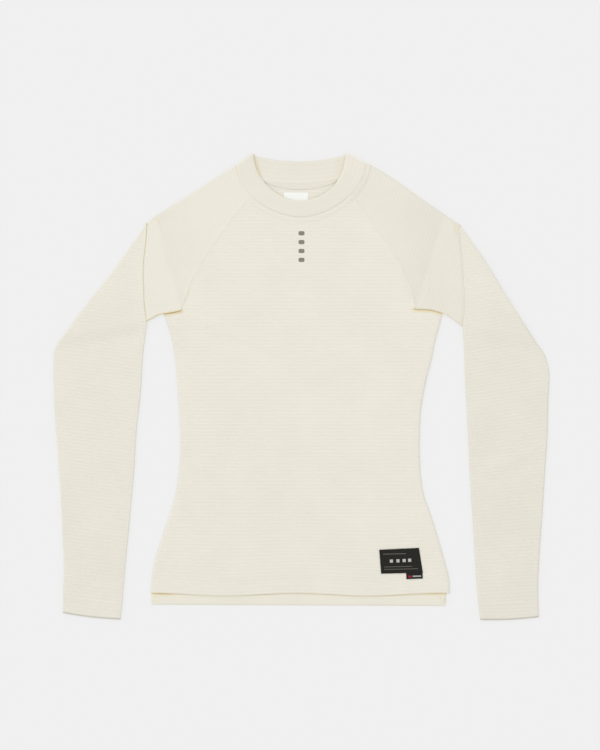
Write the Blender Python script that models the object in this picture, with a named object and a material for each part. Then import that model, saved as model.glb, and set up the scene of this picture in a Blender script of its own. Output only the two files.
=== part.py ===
"""A ribbed thermal base layer top, laid flat on its back, with both sleeves folded over at the shoulder.

The neck points to +Y, the wearer's left sleeve lies at +X, and the back rests on the ground at Z = 0. Sizes are in
millimetres, and MM turns them to metres when a piece becomes an object. Each piece is a wall of cloth between rows
of points: its upper rows carry the ribs, and its underside is plain.
"""

import bmesh
import bpy
import numpy as np

MM = 0.001  # metres in a millimetre
MIDDLE = (0.7, 0.3)  # the middle of the whole outline, which becomes the origin

# The cloth
CLOTH = 1.5  # thickness of the knit
SEAM_GAP = 0.3  # between pieces at a seam, and between layers that lie on each other
LAYER = CLOTH + SEAM_GAP  # from the underside of one layer to that of the next
FLAT_TOP = LAYER + CLOTH  # height of two layers that lie on each other
FOLD_RISE = 2 * LAYER  # what the two layers of a folded sleeve add
RIB_PITCH = 5.0
RIB_RISE = 0.35
EDGE_ROUND = 0.9  # how far the upper face stops short of a rounded edge
FOLD_ROUND = 1.3  # the same on a folded sleeve
SEAM_ROUND = 0.4  # the same beside a seam
CUFF_ROUND = 0.6  # the same at a cuff
# Levels of each rounded side wall, from the top down: the share of its rounding that it still lies inside, and its
# height as a share of the wall's
FRONT_SIDE = ((0.3, 0.75), (0.0, 0.4), (0.0, 0.0))
BACK_SIDE = ((0.0, 1.0), (0.0, 0.6), (0.3, 0.25), (1.0, 0.0))
TURNED_SHARE, TURNED_TOP, TURNED_FOOT = 0.28, 0.82, 0.18  # the same for the two rounded corners of a folded edge

# The body: heights are along Y
HEM_HEIGHT = -294.8
BACK_HEM_LEFT, BACK_HEM_RIGHT = -309.4, -311.2  # the back is longer, and hangs a little lower on one side
BACK_TUCK = 6.0  # its right corner lies this far inside the front's
BACK_TUCK_REACH = 45.0
HEM_WAVE = 2.1  # the front hem lies in soft waves
HEM_WAVE_LENGTH = 203.0
HEM_WAVE_CREST = -7.0
HEM_WAVE_FADE = 130.0  # how far up the body the waves reach
HEM_DEPTH = 15.6
HEM_STEP = 0.45  # the turned-up hem stands this much proud
BODY_COLUMNS = 5  # faces across each half of the front
HEM_POINTS = 13
FRONT_NECK_POINTS, BACK_NECK_POINTS = 23, 15
SIDE_SPACING = 14.0  # from one point to the next along the sides and the raglan seams
UNDERARM_SPACING = 9.0
SHOULDER_SPACING = 15.0

# height, left edge, right edge
BODY_SIDES = (
    (104.0, -195.0, 200.8),
    (82.0, -187.5, 195.6),
    (62.0, -182.5, 189.9),
    (41.0, -179.0, 186.2),
    (18.0, -176.6, 180.1),
    (-5.0, -175.2, 175.0),
    (-30.0, -173.4, 170.8),
    (-68.0, -171.5, 168.7),
    (-100.0, -171.8, 168.6),
    (-132.0, -175.0, 170.8),
    (-154.0, -178.2, 174.8),
    (-176.0, -184.6, 182.4),
    (-218.0, -198.5, 195.6),
    (-250.0, -207.8, 204.3),
    (-275.0, -212.2, 210.6),
    (HEM_HEIGHT, -213.0, 212.8),
)

# The neck: half width, depth and roundness of each line, and the height that its ends lie at
NECK_HALF_WIDTH = 92.3
NECK_HEIGHT = 316.3
NECK_LEAN = 1.3  # the right end of each line lies this much higher, and the left end lower
FRONT_NECK_DEPTH = 75.5
FRONT_NECK_POWER = 1.8
BACK_NECK_DEPTH = 29.2
BACK_NECK_POWER = 2.0
FRONT_RAGLAN_START = 72.0  # where the raglan seams meet the neck seam, from the centre
BACK_RAGLAN_START = 60.0

# Raglan seams from the neck down to the underarm, then the sleeve's lower edge: outward distance, height
LEFT_RAGLAN = ((79.0, 263.5), (97.6, 240.0), (124.8, 202.0), (150.0, 162.0), (163.0, 133.0), (170.4, 107.6))
RIGHT_RAGLAN = ((78.0, 263.5), (94.5, 240.0), (122.5, 202.0), (146.5, 162.0), (157.5, 133.0), (162.4, 109.6))
LEFT_BACK_RAGLAN = ((95.0, 246.0), (125.0, 200.5), (150.0, 160.5), (163.0, 133.0), (170.4, 107.6))
RIGHT_BACK_RAGLAN = ((92.0, 246.0), (121.0, 200.5), (146.0, 160.5), (157.5, 133.0), (162.4, 109.6))
LEFT_UNDERARM = ((170.4, 107.6), (183.0, 105.0), (195.0, 103.3), (202.0, 101.6), (210.0, 97.2), (219.0, 92.5))
RIGHT_UNDERARM = ((162.4, 109.9), (184.0, 108.8), (200.8, 104.3), (213.0, 97.3), (221.5, 91.2), (229.4, 85.0))
# The shoulder's edge between the neck and the fold
LEFT_SHOULDER = ((125.3, 293.7), (159.0, 272.4), (193.0, 251.0), (212.0, 238.2))
RIGHT_SHOULDER = ((100.5, 314.0), (134.5, 293.3), (164.2, 272.2), (194.6, 251.1), (217.0, 235.8))

# Sections across the folded sleeve, from its tip at the shoulder to its cuff:
# inner edge outward, inner edge height, outer edge outward, outer edge height
LEFT_SECTIONS = (
    (218.3, 233.0, 218.3, 233.0),
    (220.3, 205.0, 236.6, 207.1),
    (223.6, 175.0, 255.9, 179.2),
    (223.2, 140.0, 280.4, 147.2),
    (221.4, 108.0, 303.2, 118.3),
    (219.0, 92.5, 314.2, 104.1),
    (220.7, 73.0, 327.6, 85.9),
    (223.3, 55.0, 340.0, 69.3),
    (224.6, 38.0, 349.6, 53.3),
    (225.8, 20.0, 351.0, 35.0),
    (228.7, -20.0, 351.0, -5.0),
    (233.6, -64.0, 348.7, -50.0),
    (236.2, -110.0, 345.0, -97.0),
    (240.5, -160.0, 341.5, -148.0),
    (245.5, -215.0, 338.8, -204.0),
    (250.7, -270.0, 336.8, -260.0),
    (254.0, -310.0, 337.8, -300.0),
    (256.3, -331.2, 337.8, -322.0),
)
RIGHT_SECTIONS = (
    (225.0, 230.5, 225.0, 230.5),
    (226.6, 205.0, 242.2, 206.6),
    (229.2, 175.0, 261.9, 178.4),
    (231.6, 140.0, 281.4, 146.4),
    (231.6, 105.0, 300.5, 115.4),
    (229.4, 85.0, 311.3, 98.6),
    (230.4, 70.0, 320.2, 84.6),
    (231.9, 45.0, 334.2, 63.0),
    (232.3, 25.0, 346.6, 44.5),
    (233.2, 5.0, 351.9, 24.0),
    (235.3, -35.0, 351.2, -18.0),
    (237.6, -80.0, 350.2, -66.0),
    (239.8, -130.0, 346.7, -119.0),
    (243.3, -185.0, 343.1, -177.0),
    (246.7, -240.0, 339.0, -234.0),
    (249.9, -290.0, 336.8, -286.0),
    (254.5, -331.0, 337.7, -327.0),
)
CROSSING = 5  # the section where the fold leaves the sleeve that comes in from the body
LEFT_SLEEVE_TILT = 15.0  # degrees that the sleeve comes in below level
RIGHT_SLEEVE_TILT = 17.0
FOLD_LANDING = 24.0  # the stretch over which the folded sleeve comes down to the ground
FOLD_LANDING_START = 6.0
CUFF_BOW = 1.7  # the cuff's end bows out by this much
CUFF_BOW_REACH = 30.0
CUFF_DEPTH = 25.0
CUFF_STEP = 0.35
RAGLAN_COLUMNS = 7
SLEEVE_COLUMNS = 4
SLEEVE_NECK_POINTS = 9
FOLD_POINTS, INNER_POINTS, OUTER_POINTS = 9, 20, 32  # along the fold, the inner edge and the outer edge
UNDER_FOLD = 0.6  # the raglan part's face runs on this far under the folded part
POCKET_WALL = CLOTH  # the cloth left at the sleeve's closed edges, round the empty space inside it
POCKET_END = 7.0  # how far that space stops short of the fold
SLEEVE_SPACE_TOP = 10  # the section where the space in the lower sleeve starts

# The collar: a doubled band, one ring that turns over at both shoulder points
BAND = 2.6  # thickness of the doubled band
BAND_WIDTHS = 10  # faces across the band, two for each of its ribs
BAND_EDGE = 0.5  # share of its thickness that it keeps at both edges
BAND_FOLD = (BAND + SEAM_GAP) / 2  # from the axis that the band turns round to the middle of its cloth
COLLAR_SEAM = (0.0, 90.3, 314.0)  # centre, half width and height of its sewn edge
COLLAR_EDGE = (-2.3, 64.8, 328.7)  # the same for its free edge
FRONT_SEAM_DROP, FRONT_EDGE_DROP = 72.9, 64.4
BACK_SEAM_DROP, BACK_EDGE_DROP = 26.0, 9.1
FRONT_EDGE_POWER = 1.7
COLLAR_SETTLE = 0.6  # the sewn edge in front lies this much lower than at the shoulders
SETTLE_START, SETTLE_RISE = 0.3, 3.0  # where the settling starts, by the sine of the turn, and how fast it comes
INSIDE_START, INSIDE_RISE = 0.16, 2.5  # the same for the ribs on the inside of the back
FRONT_STATIONS, BACK_STATIONS, TURN_STATIONS = 38, 16, 4

# Small pieces
TAPE_HALF_WIDTH, TAPE_DEPTH, TAPE_END_DEPTH, TAPE_DROP, TAPE_THICK = 55.0, 8.4, 5.0, 0.9, 0.6
TAPE_POINTS = 17
LABEL_LEFT, LABEL_RIGHT, LABEL_LOW, LABEL_HIGH, LABEL_THICK = -25.6, 9.9, 259.0, 276.6, 0.5
LABEL_POINTS = 4
# Corners, anticlockwise from the lower left
PATCH_CORNERS = ((113.7, -265.0), (172.8, -263.6), (167.3, -229.5), (110.9, -232.3))
TAB_CORNERS = ((149.5, -272.8), (172.8, -271.9), (172.5, -264.0), (149.2, -264.8))
PATCH_THICK, TAB_THICK = 0.9, 0.7
BADGE_POINTS, BADGE_ROWS = 9, 6

# Soft folds: start x, start y, end x, end y, half width, height (a negative height is a trough)
FRONT_FOLDS = (
    (-172.0, 101.0, -122.0, 90.0, 8.0, 0.9),
    (-126.0, 91.0, -32.0, 50.0, 9.0, 0.8),
    (-140.0, 78.0, -18.0, 37.0, 8.0, -0.45),
    (-112.0, 192.0, -84.0, 174.0, 10.0, -0.3),
    (168.0, 98.0, 120.0, 84.0, 9.0, 0.45),
)
LEFT_SLEEVE_FOLDS = (
    (170.0, 110.5, 216.0, 96.0, 5.0, 0.8),
    (206.0, 236.0, 199.0, 226.0, 4.0, 0.6),
    (272.0, 154.0, 322.0, 110.0, 9.0, -0.4),
    (222.0, 78.0, 262.0, 66.0, 9.0, -0.5),
)
RIGHT_SLEEVE_FOLDS = (
    (162.0, 113.0, 226.0, 90.0, 5.0, 0.7),
    (197.0, 228.0, 219.0, 216.0, 5.0, 0.7),
    (170.0, 116.0, 178.0, 137.0, 4.0, 0.5),
    (238.0, 50.0, 284.0, 52.0, 9.0, -0.5),
    (266.0, -116.0, 346.0, -83.0, 9.0, 0.8),
    (266.0, -134.0, 345.0, -104.0, 8.0, -0.5),
    (285.0, -238.0, 312.0, -224.0, 7.0, 0.4),
)

# Paths that are sewn to another piece
SEWN = ("right_raglan", "neck", "left_raglan", "left_lap", "right_lap", "neck_back", "raglan", "raglan_back")

CREAM, INK, WHITE = (0.83, 0.79, 0.70), (0.021, 0.021, 0.019), (0.85, 0.87, 0.84)
KNIT_ROUGHNESS, WOVEN_ROUGHNESS = 0.92, 0.75


def smooth(stations, values, at):
    """A soft curve through the values that are given at the stations."""
    stations, values, at = (np.asarray(numbers, float) for numbers in (stations, values, at))
    slopes = np.gradient(values, stations)
    low = np.clip(np.searchsorted(stations, at, side="right") - 1, 0, len(stations) - 2)
    step = stations[low + 1] - stations[low]
    part = (at - stations[low]) / step
    rest = 1 - part
    return (
        values[low] * (1 + 2 * part) * rest**2
        + slopes[low] * step * part * rest**2
        + values[low + 1] * part**2 * (1 + 2 * rest)
        - slopes[low + 1] * step * part**2 * rest
    )


def lengths(points):
    """How far along a path each of its points lies."""
    steps = np.linalg.norm(np.diff(np.asarray(points, float), axis=0), axis=1)
    return np.concatenate([[0.0], np.cumsum(steps)])


def curve_through(points, spacing):
    """A soft curve through a few points, with a point about every spacing."""
    points = np.asarray(points, float)
    along = lengths(points)
    at = np.linspace(0, along[-1], max(3, round(along[-1] / spacing) + 1))
    return np.column_stack([smooth(along, points[:, axis], at) for axis in (0, 1)])


def round_arc(centre, half_width, height, depth, power, turns, lean=NECK_LEAN):
    """Points on the hanging arc of a neck line. A turn of 0 is its left end, and pi its right end."""
    across = np.cos(turns)
    down = np.abs(np.sin(turns)) ** (2 / power)
    along = np.sign(across) * np.abs(across) ** (2 / power)
    return np.column_stack([centre - half_width * along, height - depth * down - lean * along])


def neck_turn(distance, power):
    """The turn on the neck seam at which it is this far from the centre."""
    return np.arccos((distance / NECK_HALF_WIDTH) ** (power / 2))


def mirrored(path, side):
    """A path given in outward distances, on its side of the body."""
    return np.asarray(path, float) * (side, 1)


def inwards(path, distance):
    """A path moved to its left, and so into an outline that runs anticlockwise."""
    steps = np.diff(path, axis=0)
    steps /= np.linalg.norm(steps, axis=1)[:, None]
    before = np.vstack([steps[:1], steps])
    after = np.vstack([steps, steps[-1:]])
    middle = before + after
    middle /= np.linalg.norm(middle, axis=1)[:, None]
    reach = distance / np.maximum(0.5, np.sum(middle * before, axis=1))
    return path + np.column_stack([-middle[:, 1], middle[:, 0]]) * reach[:, None]


def meeting(first, second):
    """The point where the end of one path meets the start of the next, both drawn straight on."""
    along = first[-1] - first[-2]
    across = second[1] - second[0]
    turn = along[0] * across[1] - along[1] * across[0]
    if abs(turn) < 0.02 * np.linalg.norm(along) * np.linalg.norm(across):
        return (first[-1] + second[0]) / 2
    gap = second[0] - first[-1]
    return first[-1] + along * (gap[0] * across[1] - gap[1] * across[0]) / turn


def inset(outline, distances):
    """Each path of an anticlockwise outline moved inwards by its own distance, and joined again at the corners."""
    names = list(outline)
    moved = {name: inwards(outline[name], distances[name]) for name in names}
    for name, following in zip(names, names[1:] + names[:1]):
        corner = meeting(moved[name], moved[following])
        moved[name][-1] = moved[following][0] = corner
    return moved


def stations_along(path, axis):
    """Each point's distance along an axis, never falling, so that a row can be cut at any of them."""
    return np.maximum.accumulate(path @ axis) + 1e-6 * np.arange(len(path))


def cut(path, stations, at):
    """The point of a path at each station."""
    return np.column_stack([np.interp(at, stations, path[:, axis]) for axis in (0, 1)])


def snapped(at, marks):
    """Row stations with the nearest one moved to each mark, so that a corner gets a row's end."""
    at = at.copy()
    for mark in marks:
        at[np.argmin(np.abs(at - mark))] = mark
    return at


def rib_rows(start, end):
    """Stations of the rows: two for each rib, on its valley and on its crest."""
    return np.linspace(start, end, 2 * max(1, round(abs(end - start) / RIB_PITCH)) + 1)


def soft_step(share):
    share = np.clip(share, 0, 1)
    return share * share * (3 - 2 * share)


def fold_heights(x, y, folds):
    """The height that soft folds add at each place."""
    total = np.zeros(np.shape(x))
    for start_x, start_y, end_x, end_y, half_width, height in folds:
        run_x, run_y = end_x - start_x, end_y - start_y
        length = np.hypot(run_x, run_y)
        along = ((x - start_x) * run_x + (y - start_y) * run_y) / length
        beside = ((x - start_x) * run_y - (y - start_y) * run_x) / length
        ends = soft_step(1 + along / half_width) * soft_step(1 + (length - along) / half_width)
        total = total + height * ends * np.exp(-((beside / half_width) ** 2))
    return total


class Piece:
    """The points and faces of one piece while it is put together, in millimetres."""

    def __init__(self):
        self.points = []
        self.faces = []

    def place(self, path, heights):
        """Adds the points of a path at their heights, and gives their numbers."""
        first = len(self.points)
        for (x, y), z in zip(path, np.broadcast_to(heights, len(path))):
            self.points.append((float(x), float(y), float(z)))
        return list(range(first, len(self.points)))

    def face(self, *corners):
        ring = [corner for i, corner in enumerate(corners) if corner != corners[i - 1]]
        if len(set(ring)) > 2:
            self.faces.append(ring)

    def bridge(self, first, second):
        """A strip of triangles between two rows of points that run side by side, each with its own spacing."""
        shares = []
        for row in (first, second):
            along = lengths([self.points[number] for number in row])
            shares.append(along / along[-1])
        i = j = 0
        while i < len(first) - 1 or j < len(second) - 1:
            second_done = j == len(second) - 1
            if second_done or (i < len(first) - 1 and shares[0][i + 1] <= shares[1][j + 1]):
                self.face(first[i], first[i + 1], second[j])
                i += 1
            else:
                self.face(first[i], second[j + 1], second[j])
                j += 1

    def rows(self, rows):
        """Faces between rows of equally many points. Triangles, because the rows of a rib aren't flat."""
        for low, high in zip(rows, rows[1:]):
            for i in range(len(low) - 1):
                self.face(low[i], low[i + 1], high[i + 1])
                self.face(low[i], high[i + 1], high[i])

    def ring(self, outline, height_at):
        """Places a closed outline at one level, with its corners shared, and gives each path's numbers."""
        placed = {}
        names = list(outline)
        for name in names:
            path = outline[name][:-1]
            heights = [height_at(name, x, y) for x, y in path]
            placed[name] = self.place(path, heights)
        for name, following in zip(names, names[1:] + names[:1]):
            placed[name].append(placed[following][0])
        return placed

    def cap(self, *paths):
        """One flat face inside a closed run of paths."""
        self.faces.append([number for path in paths for number in path[:-1]])

    def finish(self, name, material, shift=None):
        """Makes the object. Shift moves points sideways, as for a wavy hem."""
        mesh = bpy.data.meshes.new(name)
        points = np.array(self.points)
        if shift is not None:
            points[:, 1] += shift(points[:, 0], points[:, 1])
        points[:, :2] -= MIDDLE
        mesh.from_pydata((points * MM).tolist(), [], self.faces)
        shaped = bmesh.new()
        shaped.from_mesh(mesh)
        loose = [vertex for vertex in shaped.verts if not vertex.link_faces]
        bmesh.ops.delete(shaped, geom=loose, context="VERTS")
        bmesh.ops.recalc_face_normals(shaped, faces=shaped.faces)
        shaped.to_mesh(mesh)
        shaped.free()
        mesh.materials.append(material)
        made = bpy.data.objects.new(name, mesh)
        bpy.context.collection.objects.link(made)
        return made


def cloth_material(name, colour, roughness):
    material = bpy.data.materials.new(name)
    material.use_nodes = True
    shader = material.node_tree.nodes["Principled BSDF"]
    shader.inputs["Base Color"].default_value = (*colour, 1)
    shader.inputs["Roughness"].default_value = roughness
    shader.inputs["Metallic"].default_value = 0
    material.diffuse_color = (*colour, 1)
    return material


def hem_shift(x, y):
    """The waves of the front hem, which fade up the body."""
    wave = HEM_WAVE * np.cos(2 * np.pi * (x - HEM_WAVE_CREST) / HEM_WAVE_LENGTH)
    return wave * soft_step(1 - (y - HEM_HEIGHT) / HEM_WAVE_FADE)


def front_height(x, y):
    """Height of the front's upper face, without its ribs."""
    hem = HEM_STEP * soft_step((HEM_HEIGHT + HEM_DEPTH - y) / 2 + 0.5)
    return FLAT_TOP + hem + fold_heights(x, y, FRONT_FOLDS)


def body_side(column, low):
    """One side edge of the body, from the underarm down to a hem at this height."""
    table = np.array(BODY_SIDES[::-1])
    heights = np.linspace(low, table[-1, 0], round((table[-1, 0] - low) / SIDE_SPACING) + 1)
    inside = np.clip(heights, table[0, 0], None)
    return np.column_stack([smooth(table[:, 0], table[:, column], inside), heights])[::-1]


def underarm_parts(underarm):
    """The sleeve's lower edge: the stretch that lies against the body, and the one that runs on to the fold."""
    return tuple(curve_through(part, UNDERARM_SPACING) for part in (underarm[:3], underarm[2:]))


def raglan(points, start, drop, power, side):
    """A raglan seam from the neck down to the underarm."""
    turn = neck_turn(start, power)
    top = round_arc(0, NECK_HALF_WIDTH, NECK_HEIGHT, drop, power, np.array([turn]), -side * NECK_LEAN)[0]
    path = [(abs(top[0]), top[1]), *points]
    return mirrored(curve_through(path, SIDE_SPACING), side)


def body_outline(neck, left_seam, right_seam, hem_heights, tuck=0.0):
    """The outline of a body panel, anticlockwise from the left end of its hem."""
    left_side = body_side(1, hem_heights[0])
    right_side = body_side(2, hem_heights[1])[::-1]
    right_side[:, 0] -= tuck * soft_step(1 - (right_side[:, 1] - hem_heights[1]) / BACK_TUCK_REACH)
    left_lap = mirrored(underarm_parts(LEFT_UNDERARM)[0], -1)
    right_lap = underarm_parts(RIGHT_UNDERARM)[0][::-1]
    left_side[0] = left_lap[-1]
    right_side[-1] = right_lap[0]
    hem = np.linspace(left_side[-1], right_side[0], HEM_POINTS)
    return {
        "hem": hem,
        "right_side": right_side,
        "right_lap": right_lap,
        "right_raglan": right_seam[::-1],
        "neck": neck,
        "left_raglan": left_seam,
        "left_lap": left_lap,
        "left_side": left_side,
    }


def edge_distances(outline, share, round_off=EDGE_ROUND):
    """How far each path of an outline lies inside it: a share of its rounding, and half the gap at a seam."""
    return {
        name: SEAM_GAP / 2 + SEAM_ROUND * share if name in SEWN else round_off * share for name in outline
    }


def make_front(knit):
    piece = Piece()
    start = neck_turn(FRONT_RAGLAN_START, FRONT_NECK_POWER)
    turns = np.linspace(np.pi - start, start, FRONT_NECK_POINTS)
    neck = round_arc(0, NECK_HALF_WIDTH, NECK_HEIGHT, FRONT_NECK_DEPTH, FRONT_NECK_POWER, turns)
    seams = [
        raglan(points, FRONT_RAGLAN_START, FRONT_NECK_DEPTH, FRONT_NECK_POWER, side)
        for points, side in ((LEFT_RAGLAN, -1), (RIGHT_RAGLAN, 1))
    ]
    outline = body_outline(neck, *seams, (HEM_HEIGHT, HEM_HEIGHT))
    top = inset(outline, edge_distances(outline, 1))

    up = np.array([0.0, 1.0])
    left = np.vstack([top["left_side"][::-1], top["left_lap"][-2::-1], top["left_raglan"][-2::-1]])
    right = np.vstack([top["right_side"], top["right_lap"][1:], top["right_raglan"][1:]])
    middle = len(neck) // 2
    neck_left, neck_right = top["neck"][middle:], top["neck"][middle::-1]
    bottom = top["left_side"][-1][1]
    centre = np.array([[neck_left[0][0], bottom]])
    heights = rib_rows(bottom, left[-1][1])
    split = int(np.argmin(np.abs(heights - neck_left[0][1])))
    heights = snapped(heights, [neck_left[0][1]])
    ends = {}
    for name, path, marks in (
        ("left", left, (top["left_side"][0], top["left_lap"][0])),
        ("right", right, (top["right_side"][-1], top["right_lap"][-1])),
        ("neck_left", np.vstack([centre, neck_left]), ()),
        ("neck_right", np.vstack([centre, neck_right]), ()),
    ):
        ends[name] = cut(path, stations_along(path, up), snapped(heights, [mark[1] for mark in marks]))

    rows_left, rows_right = [], []
    shares = np.linspace(0, 1, BODY_COLUMNS + 1)[:, None]
    for i in range(len(heights)):
        rise = RIB_RISE * (i % 2)
        halves = []
        for start_name, end_name in (("left", "neck_left"), ("neck_right", "right")):
            path = ends[start_name][i] * (1 - shares) + ends[end_name][i] * shares
            halves.append((path, front_height(path[:, 0], path[:, 1]) + rise))
        if i == len(heights) - 1:
            rows_left.append(piece.place(halves[0][0][:1], halves[0][1][:1]) * (BODY_COLUMNS + 1))
            rows_right.append(piece.place(halves[1][0][-1:], halves[1][1][-1:]) * (BODY_COLUMNS + 1))
            continue
        rows_left.append(piece.place(*halves[0]))
        rows_right.append(piece.place(*halves[1]))
        if i <= split:
            rows_right[-1][0] = rows_left[-1][-1]
    piece.rows(rows_left)
    piece.rows(rows_right)

    def corner_row(path, ends_at):
        return int(np.argmin(np.linalg.norm(path - ends_at, axis=1)))

    left_edge = [row[0] for row in rows_left]
    right_edge = [row[-1] for row in rows_right]
    left_marks = [corner_row(ends["left"], top[name][0]) for name in ("left_side", "left_lap")]
    right_marks = [corner_row(ends["right"], top[name][-1]) for name in ("right_side", "right_lap")]
    border = {
        "hem": rows_left[0] + rows_right[0][1:],
        "right_side": right_edge[: right_marks[0] + 1],
        "right_lap": right_edge[right_marks[0] : right_marks[1] + 1],
        "right_raglan": right_edge[right_marks[1] :],
        "neck": [row[0] for row in rows_right[split:]][::-1] + [row[-1] for row in rows_left[split + 1 :]],
        "left_raglan": left_edge[left_marks[1] :][::-1],
        "left_lap": left_edge[left_marks[0] : left_marks[1] + 1][::-1],
        "left_side": left_edge[: left_marks[0] + 1][::-1],
    }
    levels = [border]
    for share, height in FRONT_SIDE:
        placed = inset(outline, edge_distances(outline, share))
        levels.append(piece.ring(placed, lambda name, x, y, height=height: LAYER + height * CLOTH))
    for upper, lower in zip(levels, levels[1:]):
        for name in outline:
            piece.bridge(upper[name], lower[name])
    piece.cap(*levels[-1].values())
    return piece.finish("front_panel", knit, hem_shift)


def make_back(knit):
    piece = Piece()
    start = neck_turn(BACK_RAGLAN_START, BACK_NECK_POWER)
    turns = np.linspace(np.pi - start, start, BACK_NECK_POINTS)
    neck = round_arc(0, NECK_HALF_WIDTH, NECK_HEIGHT, BACK_NECK_DEPTH, BACK_NECK_POWER, turns)
    seams = [
        raglan(points, BACK_RAGLAN_START, BACK_NECK_DEPTH, BACK_NECK_POWER, side)
        for points, side in ((LEFT_BACK_RAGLAN, -1), (RIGHT_BACK_RAGLAN, 1))
    ]
    outline = body_outline(neck, *seams, (BACK_HEM_LEFT, BACK_HEM_RIGHT), BACK_TUCK)
    levels = []
    for share, height in BACK_SIDE:
        placed = inset(outline, edge_distances(outline, share))
        levels.append(piece.ring(placed, lambda name, x, y, height=height: height * CLOTH))
    for upper, lower in zip(levels, levels[1:]):
        for name in outline:
            piece.bridge(upper[name], lower[name])
    piece.cap(*levels[0].values())
    piece.cap(*levels[-1].values())
    return piece.finish("back_panel", knit)


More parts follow.
